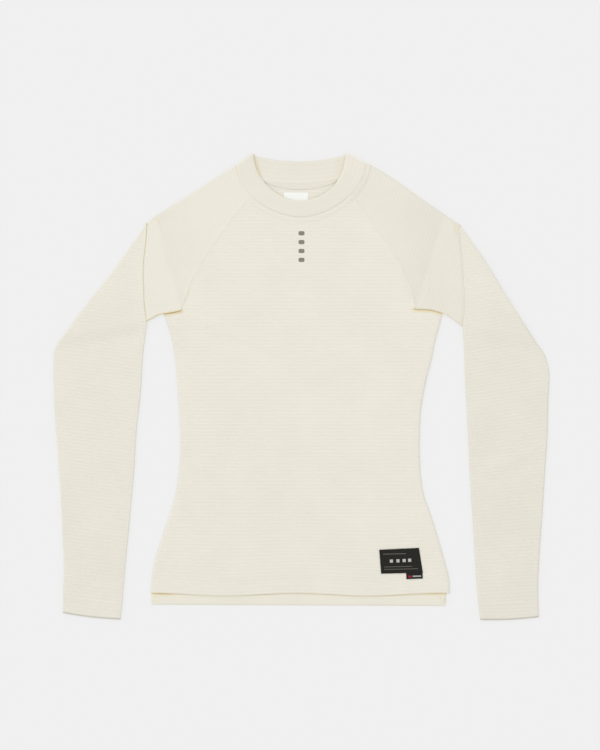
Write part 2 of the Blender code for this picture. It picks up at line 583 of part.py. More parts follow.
class Sleeve:
    """A one-piece raglan sleeve: a flat tube that comes in from the body and is folded over along its diagonal."""

    def __init__(self, side, tilt, seam, back_seam, underarm, shoulder, sections, folds):
        self.side = side
        self.folds = folds
        self.axis = np.array([np.cos(np.radians(tilt)), -np.sin(np.radians(tilt))])
        sections = np.array(sections)
        self.inner, self.outer = sections[:, :2], sections[:, 2:]
        self.stations = lengths((self.inner + self.outer) / 2)
        self.crossing = self.stations[CROSSING]
        self.tip, self.corner = self.inner[0], self.inner[CROSSING]
        self.landing = self.outer[CROSSING + 2] - self.corner
        self.landing = self.landing / np.linalg.norm(self.landing)

        front_start = neck_turn(FRONT_RAGLAN_START, FRONT_NECK_POWER)
        back_start = neck_turn(BACK_RAGLAN_START, BACK_NECK_POWER)
        front_arc = (0, NECK_HALF_WIDTH, NECK_HEIGHT, FRONT_NECK_DEPTH, FRONT_NECK_POWER)
        back_arc = (0, NECK_HALF_WIDTH, NECK_HEIGHT, BACK_NECK_DEPTH, BACK_NECK_POWER)
        front_turns = np.linspace(0, front_start, SLEEVE_NECK_POINTS)
        back_turns = np.linspace(0, back_start, SLEEVE_NECK_POINTS)
        lean = -side * NECK_LEAN
        neck = mirrored(round_arc(*front_arc, front_turns, lean), -1)
        neck_back = mirrored(round_arc(*back_arc, back_turns, lean), -1)
        front_seam = raglan(seam, FRONT_RAGLAN_START, FRONT_NECK_DEPTH, FRONT_NECK_POWER, side) * (side, 1)
        rear_seam = raglan(back_seam, BACK_RAGLAN_START, BACK_NECK_DEPTH, BACK_NECK_POWER, side) * (side, 1)
        against_body, beyond = underarm_parts(underarm)
        under = np.vstack([against_body, beyond[1:]])

        last = self.stations[-1]
        first_row = RIB_PITCH / 2
        self.fold_stations = np.concatenate([[0], np.linspace(first_row, self.crossing, FOLD_POINTS)])
        below = np.linspace(self.crossing + first_row, last, INNER_POINTS)
        self.inner_stations = np.concatenate([[self.crossing], below])
        self.outer_stations = np.concatenate([[0], np.linspace(first_row, last, OUTER_POINTS)])
        contact = self.edge(self.inner, self.fold_stations)
        inner = self.edge(self.inner, self.inner_stations)
        outer = self.edge(self.outer, self.outer_stations)[::-1]
        cuff = np.linspace(inner[-1], outer[0], SLEEVE_COLUMNS + 1)
        shoulder = curve_through([neck[0], *shoulder, self.tip], SHOULDER_SPACING)[::-1]
        closed = {"under": under, "inner": inner, "cuff": cuff, "outer": outer, "shoulder": shoulder}
        self.front = {"neck": neck, "raglan": front_seam, **closed}
        self.back = {"neck_back": neck_back, "raglan_back": rear_seam, **closed}
        self.upper = {"neck": neck, "raglan": front_seam, "under": under, "contact": contact[::-1],
                      "shoulder": shoulder}
        self.lower = {"contact": contact, "inner": inner, "cuff": cuff, "outer": outer}

    def edge(self, points, stations):
        return np.column_stack([smooth(self.stations, points[:, axis], stations) for axis in (0, 1)])

    def fold_base(self, x, y):
        """Height of the folded part before its folds and ribs: it lies on the sleeve, and then comes down."""
        above = (y - self.corner[1]) * self.landing[0] - (x - self.corner[0]) * self.landing[1]
        return FLAT_TOP + FOLD_RISE * soft_step((above + FOLD_LANDING - FOLD_LANDING_START) / FOLD_LANDING)

    def fold_top(self, x, y):
        cuff = CUFF_STEP * soft_step((self.inner[-1][1] + CUFF_DEPTH - y) / 2 + 0.5)
        return self.fold_base(x, y) + cuff + fold_heights(x, y, self.folds)

    def distances(self, outline, share):
        """How far each path lies inside the outline at one level. A mouth is cut off straight."""
        found = {}
        for name in outline:
            if name in ("neck", "raglan", "neck_back", "raglan_back"):
                found[name] = SEAM_GAP / 2
            elif name == "cuff":
                found[name] = 0.0
            elif name == "under":
                found[name] = SEAM_GAP / 2 + EDGE_ROUND * share
            elif name == "shoulder":
                found[name] = EDGE_ROUND * share
            else:
                found[name] = FOLD_ROUND * share
        return found

    def level(self, piece, outline, share, height):
        """One level of the side wall, round the whole sleeve. Height is a share of the local thickness."""

        def height_at(name, x, y):
            at_corner = np.hypot(x - self.corner[0], y - self.corner[1]) < FOLD_ROUND
            if name == "outer" or (name == "inner" and not at_corner):
                return height * self.fold_base(x, y)
            return height * FLAT_TOP

        return piece.ring(inset(outline, self.distances(outline, share)), height_at)

    def make_upper_face(self, piece):
        """The raglan part's ribbed face, and its border by path."""
        distances = {name: SEAM_GAP / 2 + SEAM_ROUND for name in ("neck", "raglan")}
        distances |= {"under": SEAM_GAP / 2 + EDGE_ROUND, "shoulder": EDGE_ROUND, "contact": -UNDER_FOLD}
        top = inset(self.upper, distances)
        low = np.vstack([top["raglan"], top["under"][1:]])
        high = np.vstack([top["neck"][::-1], top["shoulder"][-2::-1], top["contact"][-2::-1]])
        low_stations = stations_along(low, self.axis)
        high_stations = stations_along(high, self.axis)
        start = max(low_stations[0], high_stations[0])
        end = min(low_stations[-1], high_stations[-1])
        at = rib_rows(start, end)
        low_mark = low_stations[len(top["raglan"]) - 1]
        high_marks = [
            high_stations[len(top["neck"]) - 1],
            high_stations[len(top["neck"]) + len(top["shoulder"]) - 2],
        ]
        low_at, high_at = snapped(at, [low_mark]), snapped(at, high_marks)
        low_ends, high_ends = cut(low, low_stations, low_at), cut(high, high_stations, high_at)
        low_row = int(np.argmin(np.abs(low_at - low_mark)))
        high_rows = [int(np.argmin(np.abs(high_at - mark))) for mark in high_marks]
        # The row that would end at the neck's corner ends lower on the neck instead, and then follows it up
        corner = high_rows[0]
        along_neck = (high_stations > high_at[corner - 1]) & (high_stations <= high_at[corner] + 1e-9)
        tail = high[along_neck]
        high_ends[corner] = tail[0]
        shares = np.linspace(0, 1, RAGLAN_COLUMNS + 1)[:, None]
        rows = []
        for i in range(len(at)):
            path = low_ends[i] * (1 - shares) + high_ends[i] * shares
            heights = FLAT_TOP + fold_heights(path[:, 0], path[:, 1], self.folds)
            if i in (0, len(at) - 1):
                rows.append(piece.place(path[:1], heights[:1]) * (RAGLAN_COLUMNS + 1))
                continue
            rise = np.full(len(heights), RIB_RISE * (i % 2))
            rise[-1] *= high_at[i] <= high_marks[1]  # no rib where the folded part lies on it
            rows.append(piece.place(path, heights + rise))
        followed = piece.place(tail[1:], FLAT_TOP + RIB_RISE * (corner % 2))
        piece.rows(rows[: corner + 1])
        piece.bridge(rows[corner] + followed, rows[corner + 1])
        piece.rows(rows[corner + 1 :])
        low_edge, high_edge = [row[0] for row in rows], [row[-1] for row in rows]
        neck_edge = high_edge[: corner + 1] + followed
        return {
            "neck": neck_edge[::-1],
            "raglan": low_edge[: low_row + 1],
            "under": low_edge[low_row:],
            "contact": high_edge[high_rows[1] :],
            "shoulder": [neck_edge[-1], *high_edge[corner + 1 : high_rows[1] + 1]][::-1],
        }

    def make_lower_face(self, piece):
        """The folded part's ribbed face, and its border by path."""
        top = inset(self.lower, {"contact": FOLD_ROUND, "inner": FOLD_ROUND, "cuff": CUFF_ROUND, "outer": FOLD_ROUND})
        inner = np.vstack([top["contact"], top["inner"][1:]])
        inner_stations = np.concatenate([self.fold_stations, self.inner_stations[1:]])
        outer = top["outer"][::-1]
        at = rib_rows(0, self.stations[-1])
        inner_at = snapped(at, [self.crossing])
        inner_ends = cut(inner, inner_stations, inner_at)
        outer_ends = cut(outer, self.outer_stations, at)
        shares = np.linspace(0, 1, SLEEVE_COLUMNS + 1)[:, None]
        rows = []
        for i in range(len(at)):
            path = inner_ends[i] * (1 - shares) + outer_ends[i] * shares
            heights = self.fold_top(path[:, 0], path[:, 1])
            if i == 0:
                rows.append(piece.place(path[:1], heights[:1]) * (SLEEVE_COLUMNS + 1))
                continue
            rows.append(piece.place(path, heights + RIB_RISE * (i % 2)))
        piece.rows(rows)
        split = int(np.argmin(np.abs(inner_at - self.crossing)))
        inner_edge, outer_edge = [row[0] for row in rows], [row[-1] for row in rows]
        return {
            "contact": inner_edge[: split + 1],
            "inner": inner_edge[split:],
            "cuff": rows[-1],
            "outer": outer_edge[::-1],
        }

    def make_contact(self, piece, upper, lower):
        """The rounded edge of the folded part where it lies on the sleeve. Gives the columns at its two ends."""
        rows = [lower]
        for share, height in ((TURNED_SHARE, TURNED_TOP), (0.0, 0.5), (TURNED_SHARE, TURNED_FOOT)):
            distance = FOLD_ROUND * share
            path = inset(self.lower, {name: distance for name in self.lower})["contact"]
            rows.append(piece.place(path, FLAT_TOP + FOLD_RISE * height))
        rows.append(upper)
        for high, low in zip(rows, rows[1:]):
            piece.bridge(high, low)
        return [row[0] for row in rows], [row[-1] for row in rows]

    def make_space(self, piece, closed, lips, floor):
        """The empty space inside the flat tube: roof, floor and the edge between them, open at a mouth."""
        roof_edge = piece.place(closed, LAYER)
        floor_edge = piece.place(closed, CLOTH)
        upper = [lips[-1], *roof_edge, lips[0]]
        lower = [floor[-1], *floor_edge, floor[0]]
        for i in range(len(upper) - 1):
            piece.face(upper[i], upper[i + 1], lower[i + 1], lower[i])
        piece.cap(lips, upper)
        piece.cap(floor, lower)

    def make(self, name, knit):
        piece = Piece()
        upper = self.make_upper_face(piece)
        lower = self.make_lower_face(piece)
        levels = []
        for outline, share, height in (
            (self.front, TURNED_SHARE, TURNED_TOP),
            (self.front, 0.0, LAYER / FLAT_TOP),
            (self.back, 0.0, CLOTH / FLAT_TOP),
            (self.back, TURNED_SHARE, TURNED_FOOT),
            (self.back, 1.0, 0.0),
        ):
            levels.append(self.level(piece, outline, share, height))
        tip_column, corner_column = self.make_contact(piece, upper["contact"], lower["contact"])
        tip_column += [level["shoulder"][0] for level in levels]
        corner_column += [level["under"][-1] for level in levels]

        for path in ("shoulder", "under"):
            side = [upper[path], *(level[path] for level in levels)]
            for high, low in zip(side, side[1:]):
                piece.bridge(high, low)
        for path, column, near in (("inner", corner_column, 0), ("outer", tip_column, -1)):
            rows = [lower[path], *(level[path] for level in levels)]
            inside = slice(1, None) if near == 0 else slice(None, -1)
            following = 1 if near == 0 else -2
            for high, low in zip(rows, rows[1:]):
                piece.bridge(high[inside], low[inside])
            piece.bridge(column, [row[following] for row in rows])

        piece.bridge(upper["neck"] + upper["raglan"][1:], levels[1]["neck"] + levels[1]["raglan"][1:])
        for path in ("neck_back", "raglan_back"):
            piece.bridge(levels[2][path], levels[4][path])
        piece.bridge(lower["cuff"], levels[1]["cuff"])
        piece.bridge(levels[2]["cuff"], levels[4]["cuff"])
        for top, path, end in ((upper["shoulder"], "shoulder", -1), (upper["under"], "under", 0),
                               (lower["inner"], "inner", -1), (lower["outer"], "outer", 0)):
            piece.face(top[end], levels[0][path][end], levels[1][path][end])
            piece.face(levels[2][path][end], levels[3][path][end], levels[4][path][end])

        walls = {"neck": 0.0, "raglan": 0.0, "under": POCKET_WALL, "contact": POCKET_END, "shoulder": POCKET_WALL}
        inside = inset(self.upper, walls)
        raglan_space = np.vstack([inside["under"][1:], inside["contact"][1:], inside["shoulder"][1:-1]])
        self.make_space(
            piece,
            raglan_space,
            levels[1]["neck"] + levels[1]["raglan"][1:],
            levels[2]["neck_back"] + levels[2]["raglan_back"][1:],
        )
        inside = inset(self.lower, {"contact": POCKET_WALL, "inner": POCKET_WALL, "cuff": 0.0, "outer": POCKET_WALL})
        space_top = self.stations[SLEEVE_SPACE_TOP]
        outer_part = inside["outer"][1:][self.outer_stations[::-1][1:] > space_top]
        inner_part = inside["inner"][:-1][self.inner_stations[:-1] > space_top]
        self.make_space(piece, np.vstack([outer_part, inner_part]), levels[1]["cuff"], levels[2]["cuff"])

        piece.cap(*levels[4].values())
        piece.points = [(self.side * x, y, z) for x, y, z in piece.points]
        return piece.finish(name, knit, self.cuff_shift)

    def cuff_shift(self, x, y):
        """The cuff's end bows out a little between its corners."""
        inner, outer = self.inner[-1], self.outer[-1]
        across = np.clip((self.side * x - inner[0]) / (outer[0] - inner[0]), 0, 1)
        line = inner[1] + (outer[1] - inner[1]) * across
        return -CUFF_BOW * 4 * across * (1 - across) * soft_step(1 - (y - line) / CUFF_BOW_REACH)


def band_stations():
    """The ring's stations: for each its sewn and free edge, the way its right side faces and where it lies."""
    stations = []
    axis_z = BAND + SEAM_GAP / 2
    for turn in np.linspace(0, np.pi, FRONT_STATIONS + 1):
        sewn = round_arc(*COLLAR_SEAM, FRONT_SEAM_DROP, FRONT_NECK_POWER, np.array([turn]))[0]
        free = round_arc(*COLLAR_EDGE, FRONT_EDGE_DROP, FRONT_EDGE_POWER, np.array([turn]))[0]
        settle = COLLAR_SETTLE * soft_step(SETTLE_RISE * (np.sin(turn) - SETTLE_START))
        stations.append((sewn, free, (0.0, 0.0, 1.0), axis_z, settle, 1.0, 0.0))
    stations += turned_stations(1, axis_z)
    for turn in np.linspace(np.pi, 0, BACK_STATIONS + 1):
        sewn = round_arc(*COLLAR_SEAM, BACK_SEAM_DROP, BACK_NECK_POWER, np.array([turn]))[0]
        free = round_arc(*COLLAR_EDGE, BACK_EDGE_DROP, BACK_NECK_POWER, np.array([turn]))[0]
        inside = soft_step(INSIDE_RISE * (np.sin(turn) - INSIDE_START))
        stations.append((sewn, free, (0.0, 0.0, -1.0), axis_z, 0.0, 0.0, inside))
    stations += turned_stations(-1, axis_z)
    return stations


def turned_stations(side, axis_z):
    """The stations of the half turn at one shoulder, between its two flat ends."""
    sewn, free = (
        np.array([centre + side * half_width, height + side * NECK_LEAN])
        for centre, half_width, height in (COLLAR_SEAM, COLLAR_EDGE)
    )
    along = (sewn - free) / np.linalg.norm(sewn - free)
    outward = np.array([-along[1], along[0]]) * side
    found = []
    for quarter in np.linspace(1, -1, TURN_STATIONS + 1)[1:-1] * side:
        angle = quarter * np.pi / 2
        facing = (*(outward * np.cos(angle)), np.sin(angle))
        found.append((sewn, free, facing, axis_z, 0.0, (1 + np.sin(angle)) / 2, 0.0))
    return found


def make_collar(knit):
    """A doubled band whose ribs run along it. They stand on the face that shows, which is the inside at the back."""
    shares = np.linspace(0, 1, BAND_WIDTHS + 1)
    crest = RIB_RISE * (np.arange(BAND_WIDTHS + 1) % 2)
    half = np.full(BAND_WIDTHS + 1, BAND / 2)
    half[[0, -1]] *= BAND_EDGE
    piece = Piece()
    rings = []
    for sewn, free, facing, axis_z, settle, outside_ribs, inside_ribs in band_stations():
        facing = np.array(facing)
        ring = []
        for direction, ribs, order in ((1, outside_ribs, 1), (-1, inside_ribs, -1)):
            for i in range(BAND_WIDTHS + 1)[::order]:
                flat = sewn * (1 - shares[i]) + free * shares[i]
                middle = np.array([*flat, axis_z - settle * (1 - shares[i])]) + facing * BAND_FOLD
                ring.append(middle + facing * direction * (half[i] + crest[i] * ribs))
        first = len(piece.points)
        piece.points += [tuple(point) for point in ring]
        rings.append(list(range(first, len(piece.points))))
    for ring, following in zip(rings, rings[1:] + rings[:1]):
        for i in range(len(ring)):
            piece.face(ring[i - 1], ring[i], following[i])
            piece.face(ring[i - 1], following[i], following[i - 1])
    return piece.finish("collar_band", knit)


def slab(path_low, path_high, low_at, thick, shares):
    """A thin piece between two paths of equally many points. Its underside follows low_at."""
    piece = Piece()
    layers = []
    for lift in (0, thick):
        rows = []
        for share in shares:
            path = path_low * (1 - share) + path_high * share
            rows.append(piece.place(path, low_at(path[:, 0], path[:, 1]) + lift))
        piece.rows(rows)
        layers.append(rows)
    for low, high in zip(layers[0], layers[0][1:]):
        step = layers[1][layers[0].index(low)]
        following = layers[1][layers[0].index(high)]
        piece.face(low[0], high[0], following[0], step[0])
        piece.face(low[-1], high[-1], following[-1], step[-1])
    for row, above in ((layers[0][0], layers[1][0]), (layers[0][-1], layers[1][-1])):
        for i in range(len(row) - 1):
            piece.face(row[i], row[i + 1], above[i + 1], above[i])
    return piece


def make_tape(knit):
    """The strip over the back neck seam, on the back's inner face."""
    across = np.linspace(-TAPE_HALF_WIDTH, TAPE_HALF_WIDTH, TAPE_POINTS)
    rise = 1 - (across / NECK_HALF_WIDTH) ** 2
    high = np.column_stack([across, NECK_HEIGHT - BACK_NECK_DEPTH * np.sqrt(rise) - TAPE_DROP])
    depth = TAPE_END_DEPTH + (TAPE_DEPTH - TAPE_END_DEPTH) * np.cos(across / TAPE_HALF_WIDTH * np.pi / 2)
    low = high - np.column_stack([np.zeros(len(across)), depth])
    piece = slab(low, high, lambda x, y: np.full(len(x), LAYER), TAPE_THICK, (0, 1))
    return piece.finish("back_neck_tape", knit)


def make_label(woven):
    across = np.linspace(LABEL_LEFT, LABEL_RIGHT, LABEL_POINTS)
    low = np.column_stack([across, np.full(LABEL_POINTS, LABEL_LOW)])
    high = np.column_stack([across, np.full(LABEL_POINTS, LABEL_HIGH)])
    piece = slab(low, high, lambda x, y: np.full(len(x), LAYER), LABEL_THICK, (0, 0.5, 1))
    return piece.finish("neck_label", woven)


def make_sewn_on(name, corners, thick, woven):
    """A flat woven piece that lies on the front's ribs."""
    corners = np.array(corners)
    low = np.linspace(corners[0], corners[1], BADGE_POINTS)
    high = np.linspace(corners[3], corners[2], BADGE_POINTS)

    def resting(x, y):
        return front_height(x, y - hem_shift(x, y)) + RIB_RISE + SEAM_GAP

    return slab(low, high, resting, thick, np.linspace(0, 1, BADGE_ROWS)).finish(name, woven)


def main():
    for old in list(bpy.data.objects):
        bpy.data.objects.remove(old, do_unlink=True)
    knit = cloth_material("ribbed_knit", CREAM, KNIT_ROUGHNESS)
    tape = cloth_material("neck_tape", CREAM, WOVEN_ROUGHNESS)
    label = cloth_material("label_satin", WHITE, WOVEN_ROUGHNESS)
    badge = cloth_material("woven_badge", INK, WOVEN_ROUGHNESS)
    make_front(knit)
    make_back(knit)
    Sleeve(-1, LEFT_SLEEVE_TILT, LEFT_RAGLAN, LEFT_BACK_RAGLAN, LEFT_UNDERARM, LEFT_SHOULDER, LEFT_SECTIONS,
           LEFT_SLEEVE_FOLDS).make("sleeve_left", knit)
    Sleeve(1, RIGHT_SLEEVE_TILT, RIGHT_RAGLAN, RIGHT_BACK_RAGLAN, RIGHT_UNDERARM, RIGHT_SHOULDER, RIGHT_SECTIONS,
           RIGHT_SLEEVE_FOLDS).make("sleeve_right", knit)
    make_collar(knit)
    make_tape(tape)
    make_label(label)
    make_sewn_on("hem_patch", PATCH_CORNERS, PATCH_THICK, badge)
    make_sewn_on("hem_tab", TAB_CORNERS, TAB_THICK, badge)


main()
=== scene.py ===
"""Dresses a ribbed thermal base layer top, laid flat on its back with both sleeves folded over.

The neck points to +Y, the wearer's left sleeve lies at +X, and the back rests on the floor at Z = 0. Sizes
are in millimetres, and MM turns them to metres when a piece becomes an object. Every cloth piece is a fine
shell that stands in for its plain solid: it has the same outline, and adds finer ribs, rolled edges, creases
and stitches.
"""

import logging
from collections.abc import Callable, Sequence
from dataclasses import dataclass, replace
from enum import Enum

import bmesh
import bpy
import numpy as np
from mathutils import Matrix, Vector


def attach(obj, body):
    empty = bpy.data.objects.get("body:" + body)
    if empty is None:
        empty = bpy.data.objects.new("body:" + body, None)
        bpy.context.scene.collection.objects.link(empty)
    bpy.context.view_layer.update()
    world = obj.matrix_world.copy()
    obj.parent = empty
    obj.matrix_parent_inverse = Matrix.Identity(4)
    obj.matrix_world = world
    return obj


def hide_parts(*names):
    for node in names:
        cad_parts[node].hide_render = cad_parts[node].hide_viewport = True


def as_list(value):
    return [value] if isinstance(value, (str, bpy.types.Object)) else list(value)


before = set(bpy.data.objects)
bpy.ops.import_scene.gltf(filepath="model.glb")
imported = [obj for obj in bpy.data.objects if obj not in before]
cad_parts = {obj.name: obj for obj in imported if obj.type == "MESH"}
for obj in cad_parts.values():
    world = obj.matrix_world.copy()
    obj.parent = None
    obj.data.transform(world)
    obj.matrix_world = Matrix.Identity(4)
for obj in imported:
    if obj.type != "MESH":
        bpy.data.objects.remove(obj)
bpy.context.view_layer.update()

log = logging.getLogger("base_layer_top")

Numbers = np.ndarray
Path = np.ndarray
Outline = dict[str, np.ndarray]
Colour = tuple[float, float, float]
Bar = tuple[float, float, float, float]  # middle x and y, half width, half height
Rows = list[list[int]]  # the points' numbers, row by row
Border = dict[str, list[int]]  # the points' numbers along each path of an outline
Surface = tuple[Numbers, Numbers]  # heights, and how deep in shade they lie
Shift = Callable[[Numbers, Numbers], Numbers]
Socket = bpy.types.NodeSocket
Piece = bpy.types.Object

MM = 0.001  # metres in a millimetre
MIDDLE = (0.7, 0.3)  # the middle of the whole outline, which is the origin

# Body side edges from the underarm to the hem: height, left edge, right edge
BODY_SIDES = (
    (104.0, -195.0, 200.8),
    (82.0, -187.5, 195.6),
    (62.0, -182.5, 189.9),
    (41.0, -179.0, 186.2),
    (18.0, -176.6, 180.1),
    (-5.0, -175.2, 175.0),
    (-30.0, -173.4, 170.8),
    (-68.0, -171.5, 168.7),
    (-100.0, -171.8, 168.6),
    (-132.0, -175.0, 170.8),
    (-154.0, -178.2, 174.8),
    (-176.0, -184.6, 182.4),
    (-218.0, -198.5, 195.6),
    (-250.0, -207.8, 204.3),
    (-275.0, -212.2, 210.6),
    (-294.8, -213.0, 211.0),
)

# Raglan seams from the neck down to the underarm, then the sleeve's lower edge: outward distance, height
LEFT_RAGLAN = ((79.0, 263.5), (97.6, 240.0), (124.8, 202.0), (150.0, 162.0), (163.0, 133.0), (170.4, 107.6))
RIGHT_RAGLAN = ((78.0, 263.5), (94.5, 240.0), (122.5, 202.0), (146.5, 162.0), (157.5, 133.0), (162.4, 109.6))
LEFT_BACK_RAGLAN = ((95.0, 246.0), (125.0, 200.5), (150.0, 160.5), (163.0, 133.0), (170.4, 107.6))
RIGHT_BACK_RAGLAN = ((92.0, 246.0), (121.0, 200.5), (146.0, 160.5), (157.5, 133.0), (162.4, 109.6))
LEFT_UNDERARM = ((170.4, 107.6), (183.0, 105.0), (195.0, 103.3), (202.0, 101.6), (210.0, 97.2), (219.0, 92.5))
RIGHT_UNDERARM = ((162.4, 109.9), (184.0, 108.8), (200.8, 104.3), (213.0, 97.3), (221.5, 91.2), (229.4, 85.0))
# The shoulder's edge between the neck and the fold
LEFT_SHOULDER = ((125.3, 293.7), (159.0, 272.4), (193.0, 251.0), (212.0, 238.2))
RIGHT_SHOULDER = ((100.5, 314.0), (134.5, 293.3), (164.2, 272.2), (194.6, 251.1), (217.0, 235.8))

# Sections across the folded sleeve, from its tip at the shoulder to its cuff:
# inner edge outward, inner edge height, outer edge outward, outer edge height
LEFT_SECTIONS = (
    (218.3, 233.0, 218.3, 233.0),
    (220.3, 205.0, 236.6, 207.1),
    (223.6, 175.0, 255.9, 179.2),
    (223.2, 140.0, 280.4, 147.2),
    (221.4, 108.0, 303.2, 118.3),
    (219.0, 92.5, 314.2, 104.1),
    (220.7, 73.0, 327.6, 85.9),
    (223.3, 55.0, 340.0, 69.3),
    (224.6, 38.0, 349.6, 53.3),
    (225.8, 20.0, 351.0, 35.0),
    (228.7, -20.0, 351.0, -5.0),
    (233.6, -64.0, 348.7, -50.0),
    (236.2, -110.0, 345.0, -97.0),
    (240.5, -160.0, 341.5, -148.0),
    (245.5, -215.0, 338.8, -204.0),
    (250.7, -270.0, 336.8, -260.0),
    (254.0, -310.0, 337.8, -300.0),
    (256.3, -330.3, 337.8, -321.1),
)
RIGHT_SECTIONS = (
    (225.0, 230.5, 225.0, 230.5),
    (226.6, 205.0, 242.2, 206.6),
    (229.2, 175.0, 261.9, 178.4),
    (231.6, 140.0, 281.4, 146.4),
    (231.6, 105.0, 300.5, 115.4),
    (229.4, 85.0, 311.3, 98.6),
    (230.4, 70.0, 320.2, 84.6),
    (231.9, 45.0, 334.2, 63.0),
    (232.3, 25.0, 346.6, 44.5),
    (233.2, 5.0, 351.9, 24.0),
    (235.3, -35.0, 351.2, -18.0),
    (237.6, -80.0, 350.2, -66.0),
    (239.8, -130.0, 346.7, -119.0),
    (243.3, -185.0, 343.1, -177.0),
    (246.7, -240.0, 339.0, -234.0),
    (249.9, -290.0, 336.8, -286.0),
    (254.5, -331.0, 337.7, -327.0),
)
CROSSING = 5  # the section where the fold leaves the sleeve that comes in from the body

# Soft folds: start x, start y, end x, end y, half width, height (a negative height is a trough)
FRONT_FOLDS = (
    (-172.0, 101.0, -122.0, 90.0, 8.0, 0.9),
    (-126.0, 91.0, -32.0, 50.0, 9.0, 0.8),
    (-140.0, 78.0, -18.0, 37.0, 8.0, -0.45),
    (-112.0, 192.0, -84.0, 174.0, 10.0, -0.3),
    (168.0, 98.0, 120.0, 84.0, 9.0, 0.45),
)
# Where the painted shadow under the front hem is darkest and widest, at the corners where the real hem stands
# off the back: x, y, how much
HEM_CORNERS = ((-196.0, -291.5, 1.0), (192.0, -291.5, 0.45))
# Fine creases, where the cloth is tinted by its own shade: start, end, half width, depth from 0 to 1
FRONT_CREASES = (
    (-157.6, 137.5, -170.4, 109.1, 1.3, 0.2),
    (145.6, 164.4, 154.6, 124.7, 2.6, 0.08),
)
BACK_CREASES = (
    (-211.0, -298.8, -205.0, -299.2, 1.0, 0.3),
    (-210.0, -304.6, -206.0, -305.0, 1.0, 0.24),
    (198.2, -297.0, 198.4, -307.0, 0.9, 0.3),
    (203.4, -298.0, 203.4, -305.0, 0.9, 0.2),
)
LEFT_SLEEVE_CREASES = (
    (157.6, 137.5, 170.4, 109.1, 1.2, 0.16),
    (211.0, 238.6, 205.5, 237.8, 1.5, 0.15),
    (205.5, 237.8, 199.5, 233.0, 1.6, 0.13),
)
RIGHT_SLEEVE_CREASES = (
    (146.3, 164.4, 157.6, 114.7, 1.2, 0.04),
    (219.0, 231.0, 220.2, 218.0, 2.6, 0.2),
    (184.6, 140.3, 173.2, 117.6, 1.6, 0.06),
    (172.5, 139.0, 168.5, 121.0, 1.5, 0.05),
    (93.7, 305.0, 73.8, 255.3, 1.8, 0.04),
)
# Painted shade on the collar band's inner side, where the back neck and its corners lie in shadow: start,
# end, half width, depth from 0 to 1
BAND_SHADE_MARKS = (
    (36.0, 289.0, 44.0, 290.4, 1.7, 1.0),
    (44.0, 290.4, 50.5, 291.8, 2.0, 0.8),
    (54.5, 322.0, 53.5, 302.0, 5.0, 0.12),
    (-65.4, 327.0, -57.9, 302.0, 1.3, 0.5),
)
LEFT_SLEEVE_FOLDS = (
    (170.0, 110.5, 216.0, 96.0, 5.0, 0.8),
    (206.0, 236.0, 199.0, 226.0, 4.0, 0.6),
    (272.0, 154.0, 322.0, 110.0, 9.0, -0.4),
    (222.0, 78.0, 262.0, 66.0, 9.0, -0.5),
)
RIGHT_SLEEVE_FOLDS = (
    (162.0, 113.0, 226.0, 90.0, 5.0, 0.7),
    (197.0, 228.0, 219.0, 216.0, 5.0, 0.7),
    (169.0, 140.0, 186.0, 115.0, 4.0, 0.4),
    (95.0, 304.0, 76.0, 258.0, 3.0, 0.25),
    (238.0, 50.0, 284.0, 52.0, 9.0, -0.5),
    (266.0, -116.0, 346.0, -83.0, 9.0, 0.8),
    (266.0, -134.0, 345.0, -104.0, 8.0, -0.5),
    (285.0, -238.0, 312.0, -224.0, 7.0, 0.4),
)

PATCH_CORNERS = ((113.7, -265.0), (172.8, -263.6), (167.3, -228.4), (110.9, -231.1))
TAB_CORNERS = ((149.5, -272.8), (172.8, -271.9), (172.5, -263.7), (149.2, -264.2))
FINE_THREAD = (0.135, 0.13, 0.11)
PALE_THREAD = (0.50, 0.48, 0.43)
WHITE_THREAD = (0.42, 0.42, 0.41)
RED_THREAD = (0.42, 0.012, 0.03)
# Plain woven bars on the patch and its tab: middle x, middle y, half width, half height, thread
PATCH_TURN = 0.0237
PATCH_BARS = (
    (132.5, -236.9, 16.2, 0.5, FINE_THREAD),
    (128.2, -247.1, 2.2, 2.2, PALE_THREAD),
    (137.5, -246.7, 2.2, 2.2, PALE_THREAD),
    (146.3, -246.3, 2.2, 2.2, PALE_THREAD),
    (154.1, -245.9, 2.2, 2.2, PALE_THREAD),
    (137.7, -255.0, 19.9, 0.4, FINE_THREAD),
    (142.0, -258.4, 24.1, 0.4, FINE_THREAD),
)
TAB_BARS = ((154.5, -269.0, 2.3, 1.3, RED_THREAD), (164.4, -268.5, 6.0, 0.9, WHITE_THREAD))

SEWN = ("right_raglan", "neck", "left_raglan", "left_lap", "right_lap", "neck_back", "raglan", "raglan_back")


def smooth(stations: Sequence[float], values: Sequence[float], at: Numbers) -> Numbers:
    """Reads a soft curve through the values that are given at the stations.

    Args:
        stations: where the values are given, rising.
        values: the curve's value at each station.
        at: the places to read it at.

    Returns:
        The curve's value at each place.
    """
    stations, values, at = (np.asarray(numbers, float) for numbers in (stations, values, at))
    slopes = np.gradient(values, stations)
    low = np.clip(np.searchsorted(stations, at, side="right") - 1, 0, len(stations) - 2)
    step = stations[low + 1] - stations[low]
    part = (at - stations[low]) / step
    rest = 1 - part
    return (
        values[low] * (1 + 2 * part) * rest**2
        + slopes[low] * step * part * rest**2
        + values[low + 1] * part**2 * (1 + 2 * rest)
        - slopes[low + 1] * step * part**2 * rest
    )


def soft_step(share: Numbers) -> Numbers:
    """A soft rise from 0 to 1 while the share goes from 0 to 1."""
    share = np.clip(share, 0, 1)
    return share * share * (3 - 2 * share)


def rolled(distance: Numbers, reach: float) -> Numbers:
    """How far a rounded edge has turned down, from 1 on the edge itself to 0 at its reach."""
    return 1 - np.sqrt(1 - np.clip(1 - distance / reach, 0, 1) ** 2)


def bent(distance: Numbers, reach: Numbers | float) -> Numbers:
    """How far a softly bent edge has turned down, from 1 on the edge itself to 0 at its reach."""
    return np.clip(1 - distance / reach, 0, 1) ** 2


